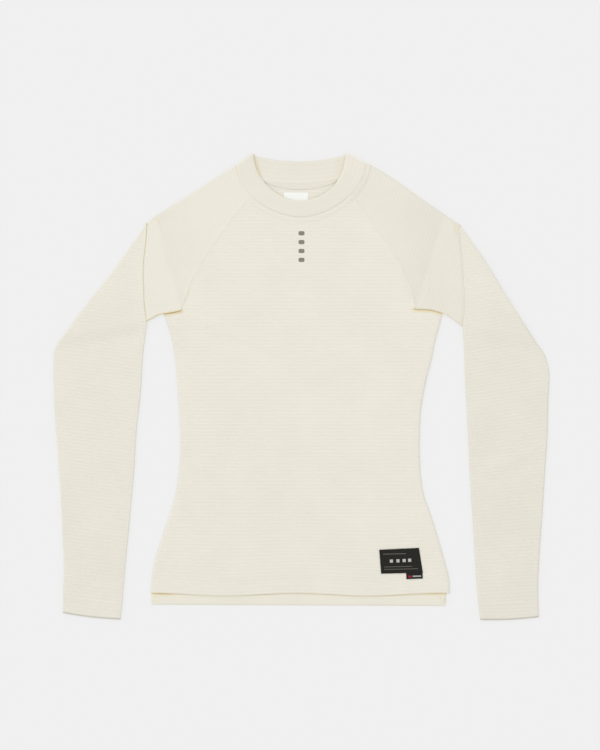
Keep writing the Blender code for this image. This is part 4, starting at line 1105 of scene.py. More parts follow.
@dataclass
class BodyPanel:
    """One body panel: a wall of ribbed cloth with a round neck, raglan edges and a turned-up hem."""

    name: str
    knit: Knit
    neck: NeckCut
    body: BodyCut
    back: bool
    folds: tuple[tuple[float, ...], ...] = ()
    creases: tuple[tuple[float, ...], ...] = ()
    columns: int = 42  # faces across each half
    edge_reach: float = 2.8  # width of the front hem's rolled edge
    side_reach: float = 1.7  # width of the soft edge down each side
    side_rim: float = 0.9  # height of that edge itself
    covered: float = 2.6  # the back's sides lie this far inside the front's
    shown_below: float = 10.0  # the back shows up to this far above the front's hem
    shown_above: float = 232.0  # and above this height, in the neck
    # The lower edge's two levels: how far in they lie, how far in down the sides, and how high
    levels: tuple[tuple[float, ...], ...] = ((0.15, 0.15, 0.3), (0.9, 2.4, 0.0))
    side_end_rim: float = 2.1  # its height where it ends at the hem or the underarm
    side_end_reach: float = 10.0
    back_rim: float = 0.45  # height of the back's bent edges
    back_reach: float = 3.4
    back_lowest: float = 0.4
    lap_reach: float = 2.2  # the edge that the sleeve's underarm lies against
    lap_drop: float = 1.25
    lap_shade: float = 0.9
    lap_shade_spread: float = 2.1
    lap_tail: float = 0.26  # how much the shade beside the right underarm still shows further down
    lap_tail_reach: float = 7.0
    hem_depth: float = 15.6
    hem_step: float = 0.45
    hem_flatter: float = 0.35  # how much flatter the ribs are on the turned-up hem
    hem_rows: tuple[float, float] = (-0.8, 5.6)  # rows of stitches, from where the turned-up cloth ends
    hem_edge_shade: float = 0.3
    hem_edge_reach: float = 1.2
    hem_shade: float = 0.42  # on the back, below the front's hem
    hem_shade_reach: float = 1.6
    corner_reach: float = 38.0  # how far from the hem's corners the painted shadow under the hem is stronger
    corner_edge_shade: float = 0.5
    corner_shade: float = 0.55
    corner_shade_reach: float = 4.2
    seams: SeamPress = SeamPress()
    unevenness: Unevenness = Unevenness(fade=25.0)
    finish: KnitFinish = KnitFinish()

    @property
    def base(self) -> float:
        """Height of the panel's underside."""
        return 0.0 if self.back else self.knit.layer

    @property
    def hem_height(self) -> float:
        """Height of its hem's edge."""
        return self.body.back_hem if self.back else self.body.front_hem

    def edges(self) -> Outline:
        """The panel's outline, half a seam's gap inside it where it is sewn."""
        start = self.neck.start(self.back)
        line = self.neck.line(np.linspace(np.pi - start, start, 61), self.back)
        tables = (LEFT_BACK_RAGLAN, RIGHT_BACK_RAGLAN) if self.back else (LEFT_RAGLAN, RIGHT_RAGLAN)
        seams = [self.neck.raglan(points, side, self.back) for points, side in zip(tables, (-1, 1))]
        outline = self.body.outline(line, *seams, self.hem_height, self.body.tuck if self.back else 0.0)
        distances: dict[str, Numbers | float] = {name: self.knit.seam * (name in SEWN) for name in outline}
        if self.back:
            for name in ("left_side", "right_side"):
                under_front = soft_step((outline[name][:, 1] - self.body.front_hem - 2.0) / 12.0)
                distances[name] = self.covered * under_front
        return inset(outline, distances)

    def side_blend(self, x: Numbers, y: Numbers, edges: Outline) -> Numbers:
        """How near the end of a side edge each place lies, where the edge is no longer thin: from 0 to 1."""
        ends = distance_to(edges["hem"], x, y)
        for name in ("left_lap", "right_lap"):
            ends = np.minimum(ends, distance_to(edges[name], x, y))
        return soft_step(1 - ends / self.side_end_reach)

    def turned_up(self, y: Numbers) -> Numbers:
        """Where the hem is turned up: from 1 on it to 0 above it."""
        return soft_step((self.hem_height + self.hem_depth - y) / 2 + 0.5)

    def hem_corner_shadow(self, x: Numbers, y: Numbers) -> Numbers:
        """How much stronger the painted shadow under the front hem is near its corners, where it stands off
        the back: from 0 to 1.
        """
        near = [
            share * soft_step(1 - np.hypot(x - corner_x, y - corner_y) / self.corner_reach)
            for corner_x, corner_y, share in HEM_CORNERS
        ]
        return np.maximum(*near)

    def rib_count(self, y: Numbers) -> Numbers:
        """How many ribs lie between the hem and each height."""
        return (y - self.hem_height) / self.knit.rib_pitch

    def surface(self, x: Numbers, y: Numbers, edges: Outline) -> Surface:
        """Height of the panel's upper face, and how much painted shade it carries in its seams, creases,
        underarms and hem.

        Args:
            x: distances across, before the hem's waves.
            y: heights.
            edges: the panel's outline.

        Returns:
            The height and the painted shade at each place.
        """
        sides, laps, raglans = (
            np.minimum(distance_to(edges[f"left_{name}"], x, y), distance_to(edges[f"right_{name}"], x, y))
            for name in ("side", "lap", "raglan")
        )
        hem, collar = (distance_to(edges[name], x, y) for name in ("hem", "neck"))
        free = np.minimum(sides, hem)
        turned_up, hem_corner_shadow = self.turned_up(y), self.hem_corner_shadow(x, y)
        flatter = (1 - self.hem_flatter * turned_up) * self.seams.rib_share(collar, raglans)
        drape = 0.0
        if not self.back:
            near_edge = np.minimum(np.minimum(free, laps), np.minimum(raglans, collar))
            drape = self.unevenness.drape(x, y, self.folds, near_edge)
            drape = drape + side_ridge(sides) + self.seams.lift(collar, raglans, x)
        flat = self.base + self.knit.wall
        groove = stitch_groove(y - self.hem_height - self.hem_depth, self.hem_rows)
        top = flat + self.hem_step * turned_up - groove + drape + self.knit.ribs(self.rib_count(y)) * flatter
        if self.back:
            top = top - (top - self.back_rim) * bent(free, self.back_reach)
        else:
            top = top - (top - flat + 0.5 * self.knit.wall) * rolled(hem, self.edge_reach)
            rim = self.side_rim + (self.side_end_rim - self.side_rim) * self.side_blend(x, y, edges)
            top = top - np.maximum(0, top - rim) * bent(sides, self.side_reach)
        beside_seam = rolled(np.minimum(raglans, collar), self.seams.reach)
        creases = fold_heights(x, y, self.creases)
        top = top - self.lap_drop * rolled(laps, self.lap_reach)
        top = top - self.seams.drop * beside_seam - CREASE_DROP * creases

        below_lap = distance_to(edges["right_lap"], x, y) / self.lap_tail_reach
        shades = [
            np.clip(self.lap_shade - laps / (self.lap_shade_spread * self.lap_reach), 0, 1),
            self.lap_tail * soft_step(1 - below_lap),
            creases,
            self.seams.shade * beside_seam,
        ]
        if self.back:
            below_front = np.abs(y - self.body.front_shift(x, y) - self.body.front_hem)
            reach = self.hem_shade_reach + self.corner_shade_reach * hem_corner_shadow
            share = self.hem_shade + self.corner_shade * hem_corner_shadow
            shades.append(share * soft_step(1 - below_front / reach))
            top = np.maximum(top, self.back_lowest)
        else:
            share = self.hem_edge_shade + self.corner_edge_shade * hem_corner_shadow
            shades.append(share * rolled(hem, self.hem_edge_reach))
        return top, np.maximum.reduce(shades)

    def row_heights(self, bottom: float, top: float, neck_bottom: float) -> Numbers:
        """Stations of the rows: fine where the panel shows, and wide apart where another piece lies on it."""
        rows = self.knit.rows(bottom, top)
        if self.back:
            shown = (rows < self.body.front_hem + self.shown_below) | (rows > self.shown_above)
            rows = rows[shown | (np.arange(len(rows)) % (2 * self.knit.rows_per_rib) == 0)]
        beside_hem = [bottom + step for step in (0.25, 0.55, 1.2)]
        beside_neck = [neck_bottom + step for step in (0.0, 0.2, 0.5)]
        return np.unique(np.round(np.concatenate([rows, beside_hem, beside_neck]), 4))

    def half_shares(self) -> Numbers:
        """Where the columns of a half row lie, from its outer end: close together beside the edge."""
        return (np.arange(self.columns + 1) / self.columns) ** 1.5

    def build(self) -> Piece:
        """Builds the shell and gives it its knit.

        Returns:
            The panel's object.
        """
        cloth = ClothMesh(self.knit.rib_pitch)
        edges = self.edges()
        up = np.array([0.0, 1.0])
        middle = len(edges["neck"]) // 2
        bottom, neck_bottom = edges["hem"][0][1], edges["neck"][middle]
        centre = np.array([[neck_bottom[0], bottom]])
        heights = self.row_heights(bottom, edges["left_raglan"][0][1], neck_bottom[1])
        heights = snapped(heights, [neck_bottom[1]])
        split = int(np.argmin(np.abs(heights - neck_bottom[1])))
        shares = self.half_shares()[None, :, None]
        halves, borders = [], []
        for side, order in (("left", -1), ("right", 1)):
            # Outer ends run up the side, the underarm and the raglan, inner ends up the centre and the neck
            parts = [edges[f"{side}_{part}"][::order] for part in ("side", "lap", "raglan")]
            corners = [part[-1] for part in parts[:2]]
            outer = np.vstack([parts[0], parts[1][1:], parts[2][1:]])
            inner = np.vstack([centre, edges["neck"][middle::-order]])
            outer_at = snapped(heights, [corner[1] for corner in corners])
            outer_ends = cut(outer, stations_along(outer, up), outer_at)
            outer_ends[-1] = outer[-1]
            inner_ends = cut(inner, stations_along(inner, up), heights)
            plan = (outer_ends[:, None] * (1 - shares) + inner_ends[:, None] * shares)[:, ::-order]
            top, depth = self.surface(plan[..., 0], plan[..., 1], edges)
            weave = np.stack([plan[..., 0] / self.knit.rib_pitch, self.rib_count(plan[..., 1])], axis=-1)
            rows = cloth.grid(plan, top, weave, depth)
            edge = [row[0 if order < 0 else -1] for row in rows]
            low, high = (int(np.argmin(np.linalg.norm(outer_ends - corner, axis=1))) for corner in corners)
            halves.append(rows)
            borders.append([edge[: low + 1], edge[low : high + 1], edge[high:]])
        left, right = halves
        for i in range(split + 1):
            right[i][0] = left[i][-1]
        left[-1] = [left[-1][0]] * (self.columns + 1)
        right[-1] = [right[-1][-1]] * (self.columns + 1)
        cloth.rows(left)
        cloth.rows(right)
        neck = [row[0] for row in right[split:]][::-1] + [row[-1] for row in left[split + 1 :]]
        border = {"hem": left[0] + right[0][1:], "neck": neck}
        for side, stretches, order in (("left", borders[0], -1), ("right", borders[1], 1)):
            for part, stretch in zip(("side", "lap", "raglan"), stretches):
                border[f"{side}_{part}"] = stretch[::order]
        self.close(cloth, border, edges)
        shift = self.body.back_shift if self.back else self.body.front_shift
        return cloth.finish(self.name, self.finish.make(), shift)

    def close(self, cloth: ClothMesh, border: Border, edges: Outline) -> None:
        """Closes the shell with its rounded lower edge and plain underside."""
        levels = [border]
        for reach, side_reach, height in self.levels:
            reaches = {name: 0.0 if name in SEWN else reach for name in edges}
            if not self.back:
                reaches |= {"left_side": side_reach, "right_side": side_reach}

            def height_at(name: str, path: Path, height: float = height) -> Numbers:
                """The heights along a path at this level."""
                level = np.full(len(path), self.base + height)
                if self.back or not height or not name.endswith("side"):
                    return level
                return level - self.knit.wall * (1 - self.side_blend(path[:, 0], path[:, 1], edges))

            levels.append(cloth.ring(inset(edges, reaches), height_at))
        for upper, lower in zip(levels, levels[1:]):
            for name in edges:
                cloth.bridge(upper[name], lower[name])
        cloth.cap(*levels[-1].values())


@dataclass
class RaglanSleeve:
    """A one-piece raglan sleeve: a flat tube that leaves the body and is folded over along its diagonal."""

    name: str
    knit: Knit
    neck: NeckCut
    side: int
    tilt: float
    seam: tuple
    back_seam: tuple
    underarm: tuple
    shoulder: tuple
    sections: tuple
    folds: tuple
    creases: tuple
    raglan_columns: int = 44
    sleeve_columns: int = 34
    crowding: float = 1.45  # how much closer together the columns are beside both edges
    rim: float = 1.0  # height of a free folded edge
    rim_reach: float = 1.0  # how far the cloth bends down to it
    rim_spread: float = 0.5  # how much further it does so where four layers lie
    rim_spread_reach: float = 20.0
    contact_reach: float = 1.4  # the folded part's edge where it lies on the sleeve
    contact_gap: float = 0.15
    contact_shade: float = 0.45  # how deep in shade that edge is
    tip_shade: float = 1.1  # how much more shade there is at its upper end
    fold_low: float = 0.16  # the share of the fold's height that is reached at that edge
    fold_spread: float = 40.0
    under_reach: float = 1.7  # width of its edge under the arm
    under_shade: float = 0.72  # how deep in shade its edge under the arm is
    valley_reach: float = 1.2  # the cloth dips and lies in shade this close to the folded part
    valley_drop: float = 0.25
    valley_shade: float = 0.32
    clearance: float = 0.02  # what a mouth's edge keeps above the layer below
    mouth_reach: float = 8.0
    corner_reach: float = 12.0
    tip_reach: float = 60.0
    landing_length: float = 24.0  # the folded part comes down to the floor over this length
    landing_start: float = 6.0
    cuff_bow: float = 1.7
    cuff_bow_reach: float = 30.0
    cuff_depth: float = 25.0  # how much of the cuff is turned up
    cuff_step: float = 0.35
    cuff_slope: float = 2.9  # the inner edge of the mouth shows this wide
    cuff_shade: float = 0.2  # how much darker it is there
    space_wall: float = 2.2  # between the tube's empty space and its sides
    space_end: float = 7.0
    space_top: int = 10  # the section where the cuff's space ends
    raglan_rib_share: float = 0.08  # how much of the ribs' height is left between the neck and the fold
    cuff_rows: tuple[float, float] = (1.0, 7.2)  # rows of stitches, from where the turned-up cloth ends
    seams: SeamPress = SeamPress()
    unevenness: Unevenness = Unevenness()
    finish: KnitFinish = KnitFinish()

    def __post_init__(self) -> None:
        """Works out the sleeve's outline from its tables."""
        self.axis = np.array([np.cos(np.radians(self.tilt)), -np.sin(np.radians(self.tilt))])
        sections = np.array(self.sections)
        self.inner, self.outer = sections[:, :2], sections[:, 2:]
        self.stations = lengths((self.inner + self.outer) / 2)
        self.crossing = self.stations[CROSSING]
        self.tip, self.corner = self.inner[0], self.inner[CROSSING]
        landing = self.outer[CROSSING + 2] - self.corner
        self.landing = landing / np.linalg.norm(landing)

        neck = self.neck
        neck_front, neck_back = (
            mirrored(neck.line(np.linspace(0, neck.start(back), count), back, -self.side), -1)
            for back, count in ((False, 41), (True, 21))
        )
        front_seam = mirrored(neck.raglan(self.seam, self.side), self.side)
        rear_seam = mirrored(neck.raglan(self.back_seam, self.side, True), self.side)
        against_body, beyond = underarm_parts(self.underarm)
        under = np.vstack([against_body, beyond[1:]])

        last = self.stations[-1]
        self.fold_stations = np.linspace(0, self.crossing, 36)
        self.inner_stations = np.linspace(self.crossing, last, 110)
        self.outer_stations = np.linspace(0, last, 150)
        contact = self.edge(self.inner, self.fold_stations)
        inner = self.edge(self.inner, self.inner_stations)
        outer = self.edge(self.outer, self.outer_stations)[::-1]
        cuff = np.linspace(inner[-1], outer[0], self.sleeve_columns + 1)
        shoulder = curve_through([neck_front[0], *self.shoulder, self.tip], 5.0)[::-1]
        closed = {"under": under, "inner": inner, "cuff": cuff, "outer": outer, "shoulder": shoulder}
        self.front = {"neck": neck_front, "raglan": front_seam, **closed}
        self.back = {"neck_back": neck_back, "raglan_back": rear_seam, **closed}
        self.upper = {"neck": neck_front, "raglan": front_seam, "under": under, "contact": contact[::-1]}
        self.upper["shoulder"] = shoulder
        self.lower = {"contact": contact, "inner": inner, "cuff": cuff, "outer": outer}

    def edge(self, points: Path, stations: Numbers) -> Path:
        """An edge of the folded part at these stations."""
        return np.column_stack([smooth(self.stations, points[:, axis], stations) for axis in (0, 1)])

    def fold_base(self, x: Numbers, y: Numbers) -> Numbers:
        """Height of the folded part before its folds and ribs: it lies on the sleeve, and then comes down."""
        above = (y - self.corner[1]) * self.landing[0] - (x - self.corner[0]) * self.landing[1]
        share = soft_step((above + self.landing_length - self.landing_start) / self.landing_length)
        contact = distance_to(self.lower["contact"], x, y)
        lift = self.fold_low + (1 - self.fold_low) * soft_step(contact / self.fold_spread)
        return self.knit.flat_top + self.knit.fold_rise * share * lift

    def mouth_blend(self, x: Numbers, y: Numbers) -> Numbers:
        """How near a mouth each place lies, where an edge isn't thin: from 0 to 1."""
        mouths = np.minimum(distance_to(self.lower["cuff"], x, y), distance_to(self.upper["neck"], x, y))
        return soft_step(1 - mouths / self.mouth_reach)

    def corner_blend(self, x: Numbers, y: Numbers) -> Numbers:
        """How near the place where the fold leaves the sleeve lies: from 0 to 1."""
        return soft_step(1 - np.hypot(x - self.corner[0], y - self.corner[1]) / self.corner_reach)

    def rim_height(self, x: Numbers, y: Numbers) -> Numbers:
        """Height of a free folded edge at each place."""
        return self.rim + (self.knit.layer + self.clearance - self.rim) * self.mouth_blend(x, y)

    def rim_bend(self, x: Numbers, y: Numbers, contact: Numbers | float = 0.0) -> Numbers:
        """How far the cloth bends down towards the sleeve's upper and outer edge."""
        shoulder, outer = distance_to(self.upper["shoulder"], x, y), distance_to(self.lower["outer"], x, y)
        spread = self.rim_spread * soft_step(contact / self.rim_spread_reach)
        return bent(np.minimum(shoulder, outer), self.rim_reach + spread)

    def upper_surface(self, x: Numbers, y: Numbers, count: Numbers) -> Surface:
        """Height of the part between the neck and the fold, and how deep it lies in shade.

        Args:
            x: outward distances.
            y: heights.
            count: how many ribs lie before each place.

        Returns:
            The height and the painted shade at each place.
        """
        raglan, collar, under, shoulder, fold = (
            distance_to(self.upper[name], x, y) for name in ("raglan", "neck", "under", "shoulder", "contact")
        )
        seams, free = np.minimum(raglan, collar), np.minimum(under, shoulder)
        shaded_valley, beside_seam = soft_step(1 - fold / self.valley_reach), rolled(seams, self.seams.reach)
        near_edge = np.minimum(seams, np.minimum(free, fold))
        drape = self.unevenness.drape(x, y, self.folds, near_edge)
        drape = drape + self.seams.lift(collar, raglan, x) - self.valley_drop * shaded_valley
        ribs = self.raglan_rib_share * self.knit.ribs(count) * self.seams.rib_share(collar, raglan)
        top = self.knit.flat_top + drape + ribs
        top = top - (top - self.rim_height(x, y)) * self.rim_bend(x, y)
        top = top - np.maximum(0, top - self.knit.layer) * rolled(under, self.under_reach)
        creases = fold_heights(x, y, self.creases)
        shades = [
            self.seams.shade * beside_seam,
            self.under_shade * np.clip(1.2 - under / (1.3 * self.under_reach), 0, 1),
            self.valley_shade * shaded_valley,
        ]
        top = top - self.seams.drop * beside_seam - CREASE_DROP * creases
        return top, np.minimum(1, np.maximum.reduce(shades) + creases)

    def fold_surface(self, x: Numbers, y: Numbers, count: Numbers) -> Surface:
        """Height of the folded part, and the painted shade along its edge against the sleeve and inside its
        cuff.

        Args:
            x: outward distances.
            y: heights.
            count: how many ribs lie before each place.

        Returns:
            The height and the painted shade at each place.
        """
        base = self.fold_base(x, y)
        contact, inner, outer, cuff = (
            distance_to(self.lower[name], x, y) for name in ("contact", "inner", "outer", "cuff")
        )
        turned = self.cuff_depth - cuff
        step = self.cuff_step * soft_step(turned / 2 + 0.5)
        near_edge = np.minimum(np.minimum(inner, outer), contact)
        drape = self.unevenness.drape(x, y, self.folds, near_edge)
        drape = drape + side_ridge(inner) * soft_step(contact / self.corner_reach)
        top = base + step - stitch_groove(turned, self.cuff_rows) + drape + self.knit.ribs(count)
        landed = self.knit.flat_top + self.contact_gap
        rim = self.rim_height(x, y)
        inner_rim = rim + (landed - rim) * self.corner_blend(x, y)
        low = top - (top - landed) * rolled(contact, self.contact_reach)
        low = low - np.maximum(0, low - inner_rim) * bent(inner, self.rim_reach)
        low = low - (low - rim) * self.rim_bend(x, y, contact)
        mouth = np.clip(1 - cuff / self.cuff_slope, 0, 1)
        low = low - np.maximum(0, low - self.knit.layer - self.clearance) * mouth
        from_tip = np.hypot(x - self.tip[0], y - self.tip[1])
        shade = self.contact_shade + self.tip_shade * soft_step(1 - from_tip / self.tip_reach)
        return low, shade * rolled(contact, self.contact_reach) - self.cuff_shade * soft_step(2.5 * mouth)

    def level_height(self, mouth: float, free: float, name: str, path: Path) -> Numbers:
        """Heights of a level of the lower edge.

        Args:
            mouth: its height at a mouth.
            free: its share of the height of a free edge.
            name: the name of the path.
            path: the path's points.

        Returns:
            A height for each point.
        """
        if name not in ("outer", "inner", "shoulder"):
            return np.full(len(path), mouth)
        x, y = path[:, 0], path[:, 1]
        near = self.mouth_blend(x, y)
        if name == "inner":
            near = np.maximum(near, self.corner_blend(x, y))
        return free * self.rim * (1 - near) + mouth * near

    def make_rows(
        self, cloth: ClothMesh, low: Path, high: Path, columns: int, count: Numbers,
        surface: Callable[[Numbers, Numbers, Numbers], Surface],
    ) -> Rows:
        """Places the points of a face.

        Args:
            cloth: the mesh that they go into.
            low: where the rows start.
            high: where they end.
            columns: faces across a row.
            count: how many ribs lie before each row.
            surface: the face's height and painted shade, from a place and its count of ribs.

        Returns:
            The numbers of each row's points.
        """
        even = np.linspace(-1, 1, columns + 1)
        shares = (0.5 + 0.5 * np.sign(even) * (1 - (1 - np.abs(even)) ** self.crowding))[None, :, None]
        plan = low[:, None] * (1 - shares) + high[:, None] * shares
        count = np.repeat(count[:, None], columns + 1, axis=1)
        heights, depth = surface(plan[..., 0], plan[..., 1], count)
        across = shares[..., 0] * np.linalg.norm(high - low, axis=1)[:, None] / self.knit.rib_pitch
        return cloth.grid(plan, heights, np.stack([across, count], axis=-1), depth)

    def make_upper_face(self, cloth: ClothMesh) -> Border:
        """Places the face between the neck and the fold, and gives its border by path."""
        distances = {"neck": self.knit.seam, "raglan": self.knit.seam, "under": self.knit.gap / 2}
        top = inset(self.upper, {**distances, "shoulder": 0.0, "contact": -1.2})
        low = np.vstack([top["raglan"], top["under"][1:]])
        high = np.vstack([top["neck"][::-1], top["shoulder"][-2::-1], top["contact"][-2::-1]])
        low_stations = stations_along(low, self.axis)
        high_stations = stations_along(high, self.axis)
        start = max(low_stations[0], high_stations[0])
        end = min(low_stations[-1], high_stations[-1])
        at = self.knit.rows(start, end)
        low_mark = low_stations[len(top["raglan"]) - 1]
        high_marks = [
            high_stations[len(top["neck"]) - 1],
            high_stations[len(top["neck"]) + len(top["shoulder"]) - 2],
        ]
        low_at, high_at = snapped(at, [low_mark]), snapped(at, high_marks)
        low_ends, high_ends = cut(low, low_stations, low_at), cut(high, high_stations, high_at)
        low_row = int(np.argmin(np.abs(low_at - low_mark)))
        high_rows = [int(np.argmin(np.abs(high_at - mark))) for mark in high_marks]
        # The row that would end at the neck's corner ends lower on the neck instead, and then follows it up
        corner = high_rows[0]
        along_neck = (high_stations > high_at[corner - 1]) & (high_stations <= high_at[corner] + 1e-9)
        tail = high[along_neck]
        high_ends[corner] = tail[0]
        count = (at - at[0]) / self.knit.rib_pitch
        rows = self.make_rows(cloth, low_ends, high_ends, self.raglan_columns, count, self.upper_surface)
        for i in (0, -1):
            rows[i] = [rows[i][0]] * (self.raglan_columns + 1)
        tail_count = np.full(len(tail) - 1, count[corner])
        tail_heights, depth = self.upper_surface(tail[1:, 0], tail[1:, 1], tail_count)
        followed = cloth.place(tail[1:], tail_heights, None, depth)
        cloth.rows(rows[: corner + 1])
        cloth.bridge(rows[corner] + followed, rows[corner + 1])
        cloth.rows(rows[corner + 1 :])
        low_edge, high_edge = [row[0] for row in rows], [row[-1] for row in rows]
        neck_edge = high_edge[: corner + 1] + followed
        return {
            "neck": neck_edge[::-1],
            "raglan": low_edge[: low_row + 1],
            "under": low_edge[low_row:],
            "contact": high_edge[high_rows[1] :],
            "shoulder": [neck_edge[-1], *high_edge[corner + 1 : high_rows[1] + 1]][::-1],
        }

    def make_fold_face(self, cloth: ClothMesh) -> Border:
        """Places the folded part's face, and gives its border by path."""
        edges = self.lower
        inner = np.vstack([edges["contact"], edges["inner"][1:]])
        inner_stations = np.concatenate([self.fold_stations, self.inner_stations[1:]])
        outer = edges["outer"][::-1]
        at = self.knit.rows(0, self.stations[-1])
        at = np.unique(np.concatenate([at, self.stations[-1] - np.array([0.3, 0.9])]))
        inner_at = snapped(at, [self.crossing])
        inner_ends = cut(inner, inner_stations, inner_at)
        outer_ends = cut(outer, self.outer_stations, at)
        count = at / self.knit.rib_pitch
        rows = self.make_rows(cloth, inner_ends, outer_ends, self.sleeve_columns, count, self.fold_surface)
        rows[0] = [rows[0][0]] * (self.sleeve_columns + 1)
        cloth.rows(rows)
        split = int(np.argmin(np.abs(inner_at - self.crossing)))
        inner_edge, outer_edge = [row[0] for row in rows], [row[-1] for row in rows]
        return {
            "contact": inner_edge[: split + 1],
            "inner": inner_edge[split:],
            "cuff": rows[-1],
            "outer": outer_edge[::-1],
        }

    def make_space(self, cloth: ClothMesh, closed: Path, lips: list[int], floor: list[int]) -> None:
        """Adds the empty space inside the flat tube: roof, floor and the edge between them, open at a mouth.

        Args:
            cloth: the mesh that it goes into.
            closed: the space's closed edge in plan.
            lips: the mouth's upper points.
            floor: the mouth's lower points.
        """
        roof_edge = cloth.place(closed, self.knit.layer)
        floor_edge = cloth.place(closed, self.knit.wall)
        upper = [lips[-1], *roof_edge, lips[0]]
        lower = [floor[-1], *floor_edge, floor[0]]
        for i in range(len(upper) - 1):
            cloth.face(upper[i], upper[i + 1], lower[i + 1], lower[i])
        cloth.cap(lips, upper)
        cloth.cap(floor, lower)

    def distances(self, outline: Outline, reach: float) -> dict[str, float]:
        """How far each path lies inside the outline at one level. A mouth is cut off straight."""
        found = {name: self.knit.seam if name in SEWN else reach for name in outline}
        return {**found, "cuff": 0.0, "under": self.knit.gap / 2 + reach}

    def build(self) -> Piece:
        """Builds the shell and gives it its knit.

        Returns:
            The sleeve's object.
        """
        cloth = ClothMesh(self.knit.rib_pitch)
        upper = self.make_upper_face(cloth)
        lower = self.make_fold_face(cloth)
        # The lower edge's levels: outline, how far in, height at a mouth, share of a free edge's height
        levels = []
        for outline, reach, mouth, free in (
            (self.front, 0.0, 0.999 * self.knit.layer, 0.97),
            (self.back, 0.0, self.knit.wall, 0.8),
            (self.back, 0.4, 0.46, 0.3),
            (self.back, 1.3, 0.0, 0.0),
        ):
            def height_at(name: str, path: Path, mouth: float = mouth, free: float = free) -> Numbers:
                """The heights along a path at this level."""
                return self.level_height(mouth, free, name, path)

            levels.append(cloth.ring(inset(outline, self.distances(outline, reach)), height_at))
        cloth.bridge(lower["contact"], upper["contact"])
        tip_column, corner_column = ([lower["contact"][end], upper["contact"][end]] for end in (0, -1))
        tip_column += [level["shoulder"][0] for level in levels]
        corner_column += [level["under"][-1] for level in levels]

        for path in ("shoulder", "under"):
            for high, low in zip([upper, *levels], levels):
                cloth.bridge(high[path], low[path])
        for path, column, near in (("inner", corner_column, 0), ("outer", tip_column, -1)):
            rows = [lower[path], *(level[path] for level in levels)]
            inside = slice(1, None) if near == 0 else slice(None, -1)
            following = 1 if near == 0 else -2
            for high, low in zip(rows, rows[1:]):
                cloth.bridge(high[inside], low[inside])
            cloth.bridge(column, [row[following] for row in rows])

        cloth.bridge(upper["neck"] + upper["raglan"][1:], levels[0]["neck"] + levels[0]["raglan"][1:])
        for path in ("neck_back", "raglan_back"):
            cloth.bridge(levels[1][path], levels[3][path])
        cloth.bridge(lower["cuff"], levels[0]["cuff"])
        cloth.bridge(levels[1]["cuff"], levels[3]["cuff"])
        for path, end in (("shoulder", -1), ("under", 0), ("inner", -1), ("outer", 0)):
            cloth.face(levels[1][path][end], levels[2][path][end], levels[3][path][end])
        self.make_spaces(cloth, levels)
        cloth.cap(*levels[3].values())
        cloth.points = [(self.side * x, y, z) for x, y, z in cloth.points]
        return cloth.finish(self.name, self.finish.make(), self.cuff_shift)

    def make_spaces(self, cloth: ClothMesh, levels: list[Border]) -> None:
        """The two empty spaces inside the tube: one open at the armhole, and one at the cuff."""
        wall = self.space_wall
        walls = {"neck": 0.0, "raglan": 0.0, "under": wall, "contact": self.space_end, "shoulder": wall}
        inside = inset(self.upper, walls)
        cloth_space = np.vstack([inside["under"][1:], inside["contact"][1:], inside["shoulder"][1:-1]])
        self.make_space(
            cloth,
            cloth_space,
            levels[0]["neck"] + levels[0]["raglan"][1:],
            levels[1]["neck_back"] + levels[1]["raglan_back"][1:],
        )
        inside = inset(self.lower, {"contact": wall, "inner": wall, "cuff": 0.0, "outer": wall})
        space_top = self.stations[self.space_top]
        outer_part = inside["outer"][1:][self.outer_stations[::-1][1:] > space_top]
        inner_part = inside["inner"][:-1][self.inner_stations[:-1] > space_top]
        self.make_space(cloth, np.vstack([outer_part, inner_part]), levels[0]["cuff"], levels[1]["cuff"])

    def cuff_shift(self, x: Numbers, y: Numbers) -> Numbers:
        """The cuff's end bows out a little between its corners."""
        inner, outer = self.inner[-1], self.outer[-1]
        across = np.clip((self.side * x - inner[0]) / (outer[0] - inner[0]), 0, 1)
        line = inner[1] + (outer[1] - inner[1]) * across
        return -self.cuff_bow * 4 * across * (1 - across) * soft_step(1 - (y - line) / self.cuff_bow_reach)


